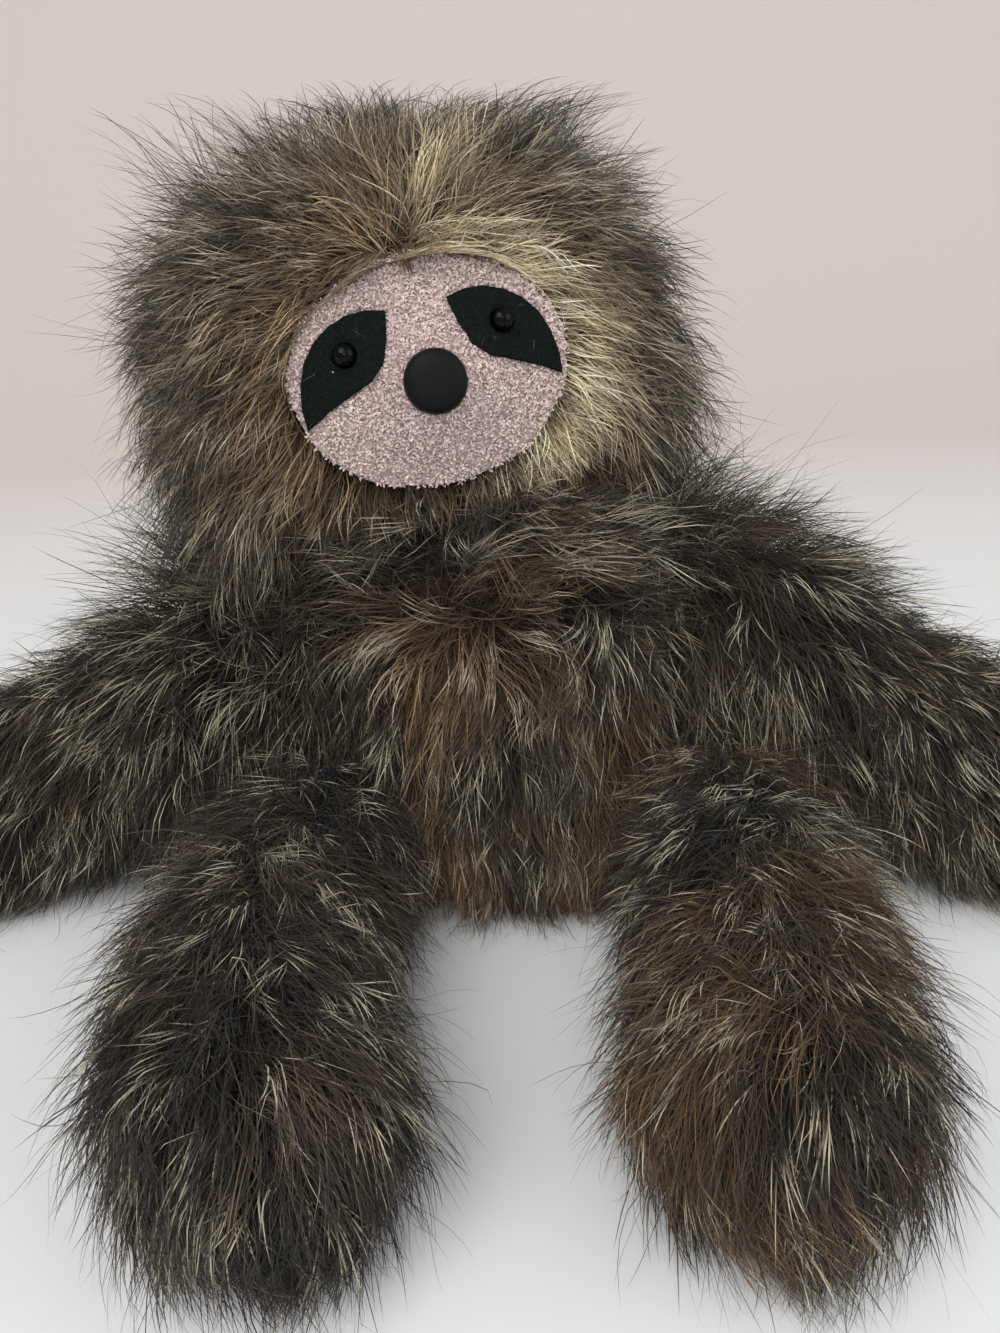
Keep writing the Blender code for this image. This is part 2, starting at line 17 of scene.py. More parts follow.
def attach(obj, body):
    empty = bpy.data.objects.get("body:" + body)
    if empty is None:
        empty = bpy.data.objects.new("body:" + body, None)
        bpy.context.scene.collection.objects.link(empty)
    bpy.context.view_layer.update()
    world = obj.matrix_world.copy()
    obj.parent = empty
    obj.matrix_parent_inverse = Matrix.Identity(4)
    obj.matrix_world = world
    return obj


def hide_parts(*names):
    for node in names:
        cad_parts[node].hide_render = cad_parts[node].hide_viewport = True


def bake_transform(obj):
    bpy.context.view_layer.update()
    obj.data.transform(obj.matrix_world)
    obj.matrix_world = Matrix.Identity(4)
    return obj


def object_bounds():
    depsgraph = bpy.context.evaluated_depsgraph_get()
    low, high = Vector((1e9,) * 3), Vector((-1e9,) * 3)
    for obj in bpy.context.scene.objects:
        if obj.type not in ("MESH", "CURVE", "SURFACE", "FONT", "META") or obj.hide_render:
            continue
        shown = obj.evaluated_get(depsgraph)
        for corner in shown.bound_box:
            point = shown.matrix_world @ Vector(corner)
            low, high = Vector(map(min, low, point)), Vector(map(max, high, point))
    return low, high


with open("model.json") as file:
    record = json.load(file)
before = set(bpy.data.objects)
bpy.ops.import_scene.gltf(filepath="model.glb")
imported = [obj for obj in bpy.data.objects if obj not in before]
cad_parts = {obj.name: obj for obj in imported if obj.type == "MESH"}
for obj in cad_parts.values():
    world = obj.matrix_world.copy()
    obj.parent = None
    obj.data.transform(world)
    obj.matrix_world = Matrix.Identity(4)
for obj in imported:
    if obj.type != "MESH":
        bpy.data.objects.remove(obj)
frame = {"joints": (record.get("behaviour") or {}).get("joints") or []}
CAD_BOX = np.array([list(corner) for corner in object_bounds()])
JOINTS = {j["name"]: np.array(j["pos_m"]) for j in frame["joints"]}
rng = np.random.default_rng(11)

UP = np.array((0.0, 0.0, 1.0))
DETAIL = 1.0
# Where a strand's points lie along it, closer together towards its tip, where its colour changes
SHARES = np.array((0.0, 0.2, 0.38, 0.53, 0.66, 0.78, 0.89, 1.0))
# Strands in a lock
LOCK = 16
FUR_LENGTH = 0.041
LOCK_SPREAD = 0.0036
CURL_SHARE, CURL_TURN = 1.6, 5.0
# How many of the loose hairs that could have a pale band do have one
LOOSE_BANDS = 0.4
# The ranges of a lock's length, of its rise at the root and at the tip, and of how tight it is
LENGTH_RANGE, LIFT_RANGE, SETTLE_RANGE = (0.75, 1.10), (0.6, 1.25), (0.0, 0.55)
BANDED_TIGHTNESS, PLAIN_TIGHTNESS = (0.78, 0.98), (0.2, 0.8)
# Where a strand's pale band may lie, its half width, and how long the change to a dark tip takes
BAND_RANGE, BAND_HALF_WIDTH, TIP_CHANGE = (0.60, 0.82), 0.16, 0.16
BRIGHTEST = 0.85
# What fabric may take beyond the solids' box: a length, and a share of each side
FABRIC_ROOM, FABRIC_SHARE = 0.009, 0.03
FLOOR_GAP, FLOOR_SPREAD = 0.0012, 1.5
# How softly the fur yields below that room's top and before its back, and how unevenly
LIMIT_EASE, LIMIT_SPREAD = 0.012, 0.008


# Small helpers


def linear(*rgb):
    """A colour from 0 to 255, as light."""
    c = np.array(rgb, float) / 255
    return np.where(c <= 0.04045, c / 12.92, ((c + 0.055) / 1.055) ** 2.4)


def unit(v):
    """Vectors at length 1."""
    return v / np.maximum(np.linalg.norm(v, axis=-1, keepdims=True), 1e-9)


def across(v, n):
    """What is left of vectors beside a normal."""
    return v - (v * n).sum(-1, keepdims=True) * n


def mix(a, b, t):
    """A blend of two values."""
    return a + (b - a) * t


def step_up(x, low, high):
    """A smooth rise from 0 at low to 1 at high."""
    t = np.clip((x - low) / (high - low), 0, 1)
    return t * t * (3 - 2 * t)


def waves(p, size, seed):
    """Smooth noise from -1 to 1 with features of a size, made of sine waves."""
    source = np.random.default_rng(seed)
    total = np.zeros(len(p))
    for _ in range(7):
        way = unit(source.normal(size=3)) * 2 * pi / (size * source.uniform(0.8, 2.2))
        total += np.sin(p @ way + source.uniform(0, 2 * pi))
    return np.clip(total / 3.2, -1, 1)


def add_mesh(name, verts, faces, finish, colours=None):
    """A smooth mesh from arrays. Each array of faces has one count of corners."""
    mesh = bpy.data.meshes.new(name)
    verts = np.ascontiguousarray(verts, np.float32)
    mesh.vertices.add(len(verts))
    mesh.vertices.foreach_set("co", verts.ravel())
    loops = np.concatenate([f.ravel() for f in faces]).astype(np.int32)
    counts = np.concatenate([np.full(len(f), f.shape[1]) for f in faces])
    starts = np.concatenate(([0], np.cumsum(counts)[:-1])).astype(np.int32)
    mesh.loops.add(len(loops))
    mesh.loops.foreach_set("vertex_index", loops)
    mesh.polygons.add(len(counts))
    mesh.polygons.foreach_set("loop_start", starts)
    mesh.polygons.foreach_set("use_smooth", np.full(len(counts), True))
    mesh.update(calc_edges=True)
    if colours is not None:
        layer = mesh.color_attributes.new("Col", "FLOAT_COLOR", "POINT")
        rgba = np.ones((len(verts), 4), np.float32)
        rgba[:, :3] = colours
        layer.data.foreach_set("color", rgba.ravel())
    mesh.materials.append(finish)
    made = bpy.data.objects.new(name, mesh)
    bpy.context.scene.collection.objects.link(made)
    return made


def grid_faces(rows, columns, closed=True):
    """Four-cornered faces of a grid of points whose columns run round."""
    steps = columns if closed else columns - 1
    i, j = np.meshgrid(np.arange(rows - 1), np.arange(steps), indexing="ij")
    k = (j + 1) % columns
    corners = [i * columns + j, i * columns + k, (i + 1) * columns + k, (i + 1) * columns + j]
    return np.stack([c.ravel() for c in corners], 1)


# Materials


def new_material(name, roughness, colour=(0.5, 0.5, 0.5), specular=0.4):
    """A material, its node tree and its shader."""
    made = bpy.data.materials.new(name)
    made.use_nodes = True
    tree = made.node_tree
    shader = tree.nodes["Principled BSDF"]
    shader.inputs["Base Color"].default_value = (*colour, 1)
    shader.inputs["Roughness"].default_value = roughness
    shader.inputs["Specular IOR Level"].default_value = specular
    return made, tree, shader


def add_node(tree, kind, links=(), **values):
    """A node with its inputs set. Each link is an input's name and the socket that feeds it."""
    node = tree.nodes.new(kind)
    for key, value in values.items():
        node.inputs[key].default_value = value
    for key, socket in links:
        tree.links.new(socket, node.inputs[key])
    return node


def painted_material(name, roughness, specular, sheen=0.0):
    """A material that takes its colour from the mesh's own colours."""
    made, tree, shader = new_material(name, roughness, specular=specular)
    paint = tree.nodes.new("ShaderNodeVertexColor")
    paint.layer_name = "Col"
    tree.links.new(paint.outputs["Color"], shader.inputs["Base Color"])
    shader.inputs["Sheen Weight"].default_value = sheen
    return made


def add_ramp(tree, value, low, high, low_at=0.3, high_at=0.7):
    """A ramp between two colours."""
    ramp = add_node(tree, "ShaderNodeValToRGB", [("Fac", value)])
    first, last = ramp.color_ramp.elements
    first.position, last.position = low_at, high_at
    first.color, last.color = (*low, 1), (*high, 1)
    return ramp.outputs["Color"]


BUMP_HEIGHT = 0.0004


def grained_material(name, dark, light, scale, roughness, specular, bump):
    """A material with fine grain in its colour and its surface."""
    made, tree, shader = new_material(name, roughness, specular=specular)
    place = tree.nodes.new("ShaderNodeTexCoord")
    where = [("Vector", place.outputs["Object"])]
    grain = add_node(tree, "ShaderNodeTexNoise", where, Scale=scale, Detail=6)
    tree.links.new(add_ramp(tree, grain.outputs["Fac"], dark, light), shader.inputs["Base Color"])
    height = [("Height", grain.outputs["Fac"])]
    lumps = add_node(tree, "ShaderNodeBump", height, Strength=bump, Distance=BUMP_HEIGHT)
    tree.links.new(lumps.outputs["Normal"], shader.inputs["Normal"])
    return made


FUR = painted_material("fur_strands", 0.55, 0.3, 0.1)
# The skin under the fur is painted dark brown-black: painted shade that shows through the gaps
# between strands
SKIN = grained_material(
    "fur_skin_painted_shade", linear(22, 18, 15), linear(60, 47, 35), 260, 0.95, 0.05, 0.8
)
TERRY = painted_material("face_terry", 1.0, 0.05, 0.1)
FELT = grained_material("patch_felt", linear(10, 15, 15), linear(20, 27, 26), 900, 0.9, 0.08, 0.6)
FELT_FUZZ = painted_material("patch_fuzz", 0.9, 0.1)
BEAD = grained_material("eye_bead", linear(3, 3, 4), linear(6, 6, 7), 300, 0.04, 0.12, 0.0)
NOSE = grained_material("nose_button", linear(9, 12, 12), linear(15, 19, 19), 1500, 0.5, 0.12, 0.3)


# Forms that the fur grows on


class Form:
    """A skin of rings, with the place, normal and area of each of its cells."""

    def __init__(self, centres, half_a, half_b, way_a, way_b, columns=96):
        turn = np.linspace(0, 2 * pi, columns, endpoint=False)
        a = half_a[:, None, None] * np.cos(turn)[None, :, None] * way_a[:, None]
        b = half_b[:, None, None] * np.sin(turn)[None, :, None] * way_b[:, None]
        self.points = centres[:, None] + a + b
        p = self.points
        self.p00, self.p10 = p[:-1], p[1:]
        self.p01, self.p11 = np.roll(p, -1, 1)[:-1], np.roll(p, -1, 1)[1:]
        normal = np.cross(self.p11 - self.p00, self.p10 - self.p01)
        self.area = np.linalg.norm(normal, axis=-1) / 2
        self.normal = unit(normal)
        middle = (self.p00 + self.p11) / 2
        inward = ((middle - (centres[:-1, None] + centres[1:, None]) / 2) * self.normal).sum(-1)
        if np.median(inward) < 0:
            self.normal = -self.normal

    def scatter(self, count, weight):
        """Random places on the skin, with their normals, as dense as the weight says."""
        area = self.area * weight((self.p00 + self.p11) / 2)
        chance = area.ravel() / area.sum()
        cell = rng.choice(chance.size, count, p=chance)
        u, v = rng.random((count, 1)), rng.random((count, 1))
        low = mix(self.p00.reshape(-1, 3)[cell], self.p01.reshape(-1, 3)[cell], v)
        high = mix(self.p10.reshape(-1, 3)[cell], self.p11.reshape(-1, 3)[cell], v)
        return mix(low, high, u), self.normal.reshape(-1, 3)[cell]

    def skin(self, name):
        """The skin's own mesh."""
        rows, columns = self.points.shape[:2]
        return add_mesh(name, self.points.reshape(-1, 3), [grid_faces(rows, columns)], SKIN)


def spline(rows, count):
    """Rows of a table, joined by a smooth curve."""
    rows = np.array(rows, float)
    last = len(rows) - 1
    t = np.linspace(0, last, count)
    i = np.clip(t.astype(int), 0, last - 1)
    f = (t - i)[:, None]
    p0, p1 = rows[np.maximum(i - 1, 0)], rows[i]
    p2, p3 = rows[i + 1], rows[np.minimum(i + 2, last)]
    curve = 2 * p1 + (p2 - p0) * f + (2 * p0 - 5 * p1 + 4 * p2 - p3) * f**2
    return (curve + (3 * p1 - p0 - 3 * p2 + p3) * f**3) / 2


def trunk(rows, place, count=70):
    """A form of level rings. Each row is a height, two half sizes and the centre's place."""
    dense = spline(rows, count)
    turn = np.array(place.to_3x3())
    middles = np.stack((dense[:, 3], dense[:, 4], dense[:, 0]), 1)
    centres = middles @ turn.T + np.array(place.translation)
    ones = np.ones((count, 1))
    half_a, half_b = np.maximum(dense[:, 1], 0), np.maximum(dense[:, 2], 0)
    return Form(centres, half_a, half_b, ones * turn[:, 0], ones * turn[:, 1])


# Rows of height, half width, half depth, and the ring's middle
BODY_ROWS = (
    (0.0030, 0.000, 0.000, 0.0000, 0.000),
    (0.0032, 0.036, 0.028, -0.0003, 0.000),
    (0.0060, 0.058, 0.045, -0.0006, 0.000),
    (0.0200, 0.070, 0.054, -0.0022, 0.000),
    (0.0450, 0.074, 0.056, -0.0050, 0.000),
    (0.0750, 0.071, 0.055, -0.0084, 0.000),
    (0.1000, 0.066, 0.052, -0.0112, 0.000),
    (0.1250, 0.058, 0.047, -0.0140, -0.001),
    (0.1430, 0.047, 0.041, -0.0160, -0.003),
    (0.1560, 0.034, 0.033, -0.0180, -0.005),
    (0.1630, 0.018, 0.018, -0.0190, -0.006),
    (0.1650, 0.000, 0.000, -0.0190, -0.006),
)
# The same in the head's own frame, from the neck's pivot
HEAD_ROWS = (
    (0.0570, 0.000, 0.000, 0.0, 0.003),
    (0.0580, 0.034, 0.028, 0.0, 0.003),
    (0.0640, 0.062, 0.043, 0.0, 0.003),
    (0.0760, 0.078, 0.050, 0.0, 0.003),
    (0.0950, 0.087, 0.055, 0.0, 0.003),
    (0.1150, 0.088, 0.055, 0.0, 0.003),
    (0.1350, 0.085, 0.054, 0.0, 0.003),
    (0.1530, 0.075, 0.049, 0.0, 0.004),
    (0.1660, 0.057, 0.039, 0.0, 0.005),
    (0.1740, 0.032, 0.024, 0.0, 0.006),
    (0.1770, 0.000, 0.000, 0.0, 0.006),
)
# The head's turns about Z, Y and X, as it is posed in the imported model
HEAD_POSE = ((9.7, "Z"), (-8.6, "Y"), (-12.6, "X"))
NECK = JOINTS["neck_turn"]
HEAD_PLACE = Matrix.Translation(NECK)
for angle, axis in HEAD_POSE:
    HEAD_PLACE = HEAD_PLACE @ Matrix.Rotation(radians(angle), 4, axis)
HEAD_AXES = np.array(HEAD_PLACE.to_3x3())


def to_head(p):
    """World places in the head's own frame."""
    return (p - NECK) @ HEAD_AXES


def from_head(p):
    """Places in the head's own frame, in the world."""
    return p @ HEAD_AXES.T + NECK


# Limbs: rows of distance along, width, thickness, and how far the limb has come down
ARM_TABLE = (
    (-0.17, 0.72, 0.72, 0.00),
    (0.00, 0.84, 0.84, 0.00),
    (0.13, 0.84, 0.84, 0.08),
    (0.25, 0.90, 0.88, 0.25),
    (0.42, 0.98, 0.97, 0.55),
    (0.58, 1.00, 1.00, 0.80),
    (0.72, 1.00, 0.98, 0.97),
    (0.84, 0.97, 0.93, 1.00),
    (1.00, 0.90, 0.84, 1.00),
)
LEG_TABLE = (
    (-0.18, 0.72, 0.76, 0.00),
    (0.00, 0.80, 0.86, 0.00),
    (0.15, 0.84, 0.90, 0.30),
    (0.30, 0.93, 0.97, 0.80),
    (0.46, 0.98, 1.00, 1.00),
    (0.64, 1.00, 1.00, 1.00),
    (0.82, 1.00, 0.97, 1.00),
    (1.00, 0.96, 0.90, 1.00),
)
# The share of a limb's length that its round end takes, and how quickly a limb bows to one side
CAP_SHARE, BOW_LENGTH = 0.20, 0.85
# How finely a limb and its end are divided, and how its root closes
LIMB_STEPS, CAP_STEPS = 50, 20
ROOT_TAPER = (0.0, 0.5, 0.8, 0.95)


class Limb:
    """A limb that comes down from its root and lies on the table."""

    def __init__(self, side, kind, heading, table, size, bow):
        reach, half_width, half_thickness, inset = size
        self.name = f"{side}_{kind}"
        self.kind = kind
        self.root = JOINTS[side + ("_shoulder" if kind == "arm" else "_hip")]
        self.way = np.array((cos(heading), sin(heading), 0.0))
        self.side = np.array((-sin(heading), cos(heading), 0.0))
        self.reach = reach - inset
        table = np.array(table)
        straight = np.linspace(table[0, 0], 1 - CAP_SHARE, LIMB_STEPS)
        bend = np.linspace(0, pi / 2, CAP_STEPS)[1:]
        self.share = np.concatenate((straight, 1 - CAP_SHARE + CAP_SHARE * np.sin(bend)))
        taper = np.concatenate((np.ones(LIMB_STEPS), np.cos(bend)))
        taper[: len(ROOT_TAPER)] = ROOT_TAPER
        width, thickness, down = [
            np.interp(self.share, table[:, 0], table[:, column]) for column in (1, 2, 3)
        ]
        down = np.convolve(np.pad(down, 4, mode="edge"), np.ones(9) / 9, mode="valid")
        height = self.root[2] + (half_thickness * thickness - self.root[2]) * down
        flat = self.root[:2] + np.outer(self.share * self.reach, self.way[:2])
        flat += np.outer(bow * np.sin(pi * np.clip(self.share * BOW_LENGTH, 0, 1)), self.side[:2])
        self.spine = np.column_stack((flat, height))
        self.along = unit(np.gradient(self.spine, axis=0))
        half_a = (half_width * width - inset) * taper
        half_b = (half_thickness * thickness - inset) * taper
        sides = np.ones((len(self.share), 1)) * self.side
        tops = np.cross(self.along, self.side)
        self.form = Form(self.spine, half_a, half_b, sides, tops, columns=64)

    def at(self, p):
        """The spine's place and way nearest to places, and how far along they are."""
        run = ((p - self.root) @ self.way) / self.reach
        run = np.clip(run, self.share[0], 1 - CAP_SHARE * 0.5)
        place = np.stack([np.interp(run, self.share, self.spine[:, i]) for i in range(3)], 1)
        way = np.stack([np.interp(run, self.share, self.along[:, i]) for i in range(3)], 1)
        return place, unit(way), run


# Fur


def grow(roots, normals, comb, outward, length, lift, settle, sag, stray):
    """The middle lines of locks: they rise from the skin, lie down along the comb, curl and sag."""
    points = [roots]
    p = roots.copy()
    wander = rng.normal(size=roots.shape) * stray
    curl = rng.normal(size=roots.shape) * stray * CURL_SHARE
    phase = rng.uniform(0, 2 * pi, (len(roots), 1))
    for start, end in zip(SHARES, SHARES[1:]):
        s = (start + end) / 2
        n = unit(mix(normals, outward(p), 0.6))
        t = unit(across(comb(p), n) + 1e-6)
        e = mix(lift, settle, s**0.7)[:, None]
        bend = curl * np.sin(CURL_TURN * s + phase)
        way = t * np.cos(e) + n * np.sin(e) - UP * sag * s + wander * (0.4 + s) + bend
        p = p + unit(way) * (length * (end - start))[:, None]
        points.append(p)
    return np.stack(points, 1)


def expand(lines, normals, tight, loose=0.13, shorten=0.35):
    """Many strands from each lock's middle line, drawn together towards their tips."""
    s = SHARES
    reach = np.repeat(np.linalg.norm(lines[:, -1] - lines[:, 0], axis=1), LOCK)
    lines, n, tight = [np.repeat(each, LOCK, 0) for each in (lines, normals, tight)]
    total = len(lines)
    offset = across(rng.normal(size=(total, 3)), n) * LOCK_SPREAD
    keep = 1 - tight[:, None] * s[None] ** 0.8
    size = 1 - shorten * rng.random(total) ** 1.5
    stem = (lines - lines[:, :1]) * size[:, None, None]
    stray = rng.normal(size=(total, 3)) * (loose * reach)[:, None]
    bend = (s**1.8)[None, :, None] * stray[:, None]
    return lines[:, :1] + stem + offset[:, None] * keep[..., None] + bend


def strands(name, points, colours, half_width, finish):
    """Strands as tapered ribbons, each turned its own way."""
    count, levels = points.shape[:2]
    taper = (1 - np.linspace(0, 1, levels) ** 3) ** 0.7
    way = unit(points[:, -1] - points[:, 0])
    side = unit(np.cross(way, rng.normal(size=(count, 3))))
    half = (np.asarray(half_width).reshape(-1, 1) * taper[None])[..., None]
    left, right = points - side[:, None] * half, points + side[:, None] * half
    body = np.stack((left[:, :-1], right[:, :-1]), 2).reshape(count, -1, 3)
    verts = np.concatenate((body, points[:, -1:]), 1)
    paint = np.concatenate((np.repeat(colours[:, :-1], 2, 1), colours[:, -1:]), 1)
    first = np.arange(count)[:, None] * (2 * levels - 1)
    quads = [first + np.array((2 * k, 2 * k + 1, 2 * k + 3, 2 * k + 2)) for k in range(levels - 2)]
    tip = first + np.array((2 * levels - 4, 2 * levels - 3, 2 * levels - 2))
    faces = [np.concatenate(quads), tip]
    return add_mesh(name, verts.reshape(-1, 3), faces, finish, paint.reshape(-1, 3))


CREAM = linear(212, 197, 165)
TAN = linear(172, 151, 117)
BROWN = linear(116, 95, 68)
RUSSET = linear(120, 94, 62)
UMBER = linear(82, 68, 52)
SOOT = linear(36, 32, 30)
ASH = linear(190, 182, 157)
GREY = linear(134, 126, 111)
TIP = linear(28, 26, 26)


class Tone:
    """What colours a lock: its base, the chance of dark tips, and whether it has a pale band."""

    def __init__(self, base, tips, fleck, contrast=0.3):
        self.base = base * rng.lognormal(0, contrast, (len(base), 1))
        self.tips, self.fleck = tips, fleck
        self.band = rng.uniform(*BAND_RANGE, len(base))

    def paint(self, each):
        """Colours along each strand: darker at the root as painted shade, then the lock's own, a
        pale band, a tip.
        """
        total = len(self.base) * each
        s = SHARES[None, :, None]
        base = np.repeat(self.base, each, 0)[:, None]
        kept = (self.tips, self.fleck, self.band)
        tips, fleck, band = [np.repeat(values, each)[:, None, None] for values in kept]
        light = rng.uniform(0.6, 1.4, (total, 1, 1))
        # Each strand darkens towards its root: painted shade for the depth of the fur
        colour = base * light * mix(0.4, 1.0, step_up(s, 0.0, 0.45))
        pale = np.clip(1 - ((s - band) / BAND_HALF_WIDTH) ** 2, 0, 1) * fleck
        pale = pale * (rng.random((total, 1, 1)) < 0.95)
        colour = mix(colour, ASH[None, None] * rng.uniform(0.7, 1.15, (total, 1, 1)), pale)
        start = np.where(fleck > 0, band + 0.08, rng.uniform(0.58, 0.88, (total, 1, 1)))
        tipped = rng.random((total, 1, 1)) < np.maximum(tips, fleck * 0.9)
        dark = tipped * step_up(s, start, start + TIP_CHANGE)
        return np.minimum(mix(colour, TIP[None, None] * light, dark), BRIGHTEST)


def limit(points):
    """Keeps strands on the table and inside the room that fabric may take beyond the solids.

    Towards that room's top and back each strand yields softly, and to its own depth."""
    low, high = CAD_BOX
    room = (high - low) * FABRIC_SHARE + FABRIC_ROOM
    uneven = np.random.default_rng(len(points)).random((len(points), 1, 1)) * LIMIT_SPREAD
    knee = (high + room - LIMIT_EASE - uneven)[..., 1:]
    over = np.maximum(points[..., 1:] - knee, 0)
    points = points.copy()
    yielded = LIMIT_EASE * (1 - np.exp(-over / LIMIT_EASE))
    points[..., 1:] = np.minimum(points[..., 1:], knee) + yielded
    points = np.clip(points, low - room, high + room)
    floor = FLOOR_GAP * (1 + FLOOR_SPREAD * rng.random(points.shape[:2]))
    points[..., 2] = np.maximum(points[..., 2], floor)
    return points


# Each kind of hair: how many for each lock, its length against a lock's, how much further its tip
# stands up, how far it strays from the comb, and the range of its half width
Hair = namedtuple("Hair", "kind share stretch rise stray widths")
HAIRS = (
    Hair("lock", 1.0, 1.0, 0.0, 0.17, (0.00013, 0.00024)),
    Hair("loose", 2.0, 1.05, 0.0, 0.32, (0.00009, 0.00016)),
    Hair("guard", 0.9, 1.3, 0.2, 0.27, (0.00007, 0.00012)),
)


def coat(form, guides, weight, comb, outward, tone, shape, sag=0.3):
    """Fur on a form in locks, loose hairs and long dark guard hairs: points, colours and widths.

    Shape gives the size of each root's fur and how far it stands up."""
    parts = []
    for hair in HAIRS:
        count = int(guides * DETAIL * hair.share)
        roots, normals = form.scatter(count, weight)
        colours = tone(roots)
        size, stand = shape(roots)
        length = FUR_LENGTH * rng.uniform(*LENGTH_RANGE, count) * size * hair.stretch
        lift = rng.uniform(*LIFT_RANGE, count) + stand
        settle = rng.uniform(*SETTLE_RANGE, count) + stand + hair.rise
        lines = grow(roots, normals, comb, outward, length, lift, settle, sag, hair.stray)
        each = 1
        if hair.kind == "lock":
            banded = rng.uniform(*BANDED_TIGHTNESS, count)
            tight = np.where(colours.fleck > 0, banded, rng.uniform(*PLAIN_TIGHTNESS, count))
            lines, each = expand(lines, normals, tight), LOCK
        elif hair.kind == "loose":
            colours.fleck = colours.fleck * (rng.random(count) < LOOSE_BANDS)
        else:
            colours = Tone(np.tile(UMBER, (count, 1)), np.ones(count), np.zeros(count))
        parts.append((lines, colours.paint(each), rng.uniform(*hair.widths, len(lines))))
    return [np.concatenate(each) for each in zip(*parts)]


def everywhere(p):
    """The same density all over."""
    return np.ones(p.shape[:-1])


# Body and limbs

BODY_GUIDES, HEAD_GUIDES, ARM_GUIDES, LEG_GUIDES = 2500, 3300, 1650, 1600
SHOULDER_LEVEL, RUFF_LEVEL = (0.075, 0.130), (0.110, 0.150)
BODY_LEAN_SHARE, CHEST_GLOW = -0.115, 1.25
RUFF_SIZE, RUFF_STAND = 1.25, 0.45
CHEST_MIDDLE, CHEST_WIDTH, CHEST_LEVEL = -0.01, (0.02, 0.06), (0.11, 0.15)
# The sizes of warm and of dark patches, and how many locks have a pale band outside and inside the
# warm ones
WARM_PATCH, DARK_PATCH = 0.07, 0.035
BANDED_SHARES = (0.48, 0.26)
# How light each limb's fur is, and the share of its pale bands that it keeps
LIMB_SHADES = {
    "left_arm": (0.60, 0.9),
    "right_arm": (0.50, 0.8),
    "left_leg": (0.60, 0.9),
    "right_leg": (0.80, 0.45),
}
# The size and stand of the fur at the arms' roots, and what the fur under the arms has more
ROOT_FUR = {"left_arm": (1.35, 0.5), "right_arm": (1.65, 0.85)}
UNDER_ARM_SIZE, UNDER_ARM_STAND = 1.3, 0.15
# Where along a limb its root's fur ends and its end's fur begins
ROOT_RUN, FOOT_RUN = (0.1, 0.45), (0.65, 0.9)


def dark_colours(roots, warm, seed):
    """The body's and limbs' colours: warm and dark patches, and which locks have a pale band."""
    count = len(roots)
    warm = step_up(waves(roots, WARM_PATCH, seed), -0.3, 0.8) * warm
    uneven = waves(roots, DARK_PATCH, seed + 1) + rng.normal(size=count) * 0.3
    dark = step_up(uneven, -0.2, 0.6)
    base = mix(mix(UMBER, RUSSET, warm[:, None]), SOOT, (dark * 0.85)[:, None])
    fleck = (rng.random(count) < mix(*BANDED_SHARES, warm)).astype(float)
    return base, mix(0.5, 0.95, dark), fleck


def make_body():
    """The body's skin and fur."""
    form = trunk(BODY_ROWS, Matrix())
    skin = form.skin("body_skin")

    def weight(p):
        return np.where(p[..., 2] > 0.004, 1.0, 0.05)

    def outward(p):
        middle = np.stack((BODY_LEAN_SHARE * p[:, 2], p[:, 1] * 0, np.clip(p[:, 2], 0.03, 0.11)), 1)
        return unit((p - middle) / np.array((0.9, 0.7, 1.0)))

    def comb(p):
        aside = np.clip((p[:, 0] - BODY_LEAN_SHARE * p[:, 2]) / 0.05, -1.2, 1.2)
        high = step_up(p[:, 2], *SHOULDER_LEVEL)
        top = step_up(p[:, 2], *RUFF_LEVEL)
        fall = mix(mix(-1.0, -0.4, high), 0.5, top)
        ahead = np.clip(p[:, 1] / 0.06, -1, 1) * mix(0.3, 0.8, top)
        way = np.stack((aside * mix(0.25, 1.0, high), ahead, fall), 1)
        swirl = np.stack((waves(p, 0.04, 5), waves(p, 0.04, 6), waves(p, 0.04, 7) * 0.5), 1)
        return way + swirl * 0.6

    def shape(roots):
        top = step_up(roots[:, 2], *RUFF_LEVEL)
        return mix(1.0, RUFF_SIZE, top), top * RUFF_STAND

    def tone(roots):
        chest = 1 - step_up(np.abs(roots[:, 0] - CHEST_MIDDLE), *CHEST_WIDTH)
        chest = chest * (1 - step_up(roots[:, 2], *CHEST_LEVEL)) * (roots[:, 1] < 0)
        base, tips, fleck = dark_colours(roots, mix(0.4, 1.3, chest), 1)
        glow = mix(1.0, CHEST_GLOW, chest)[:, None]
        return Tone(base * glow, tips * mix(1.0, 0.7, chest), fleck)

    points, colours, widths = coat(form, BODY_GUIDES, weight, comb, outward, tone, shape)
    return skin, strands("body_fur", limit(points), colours, widths, FUR)


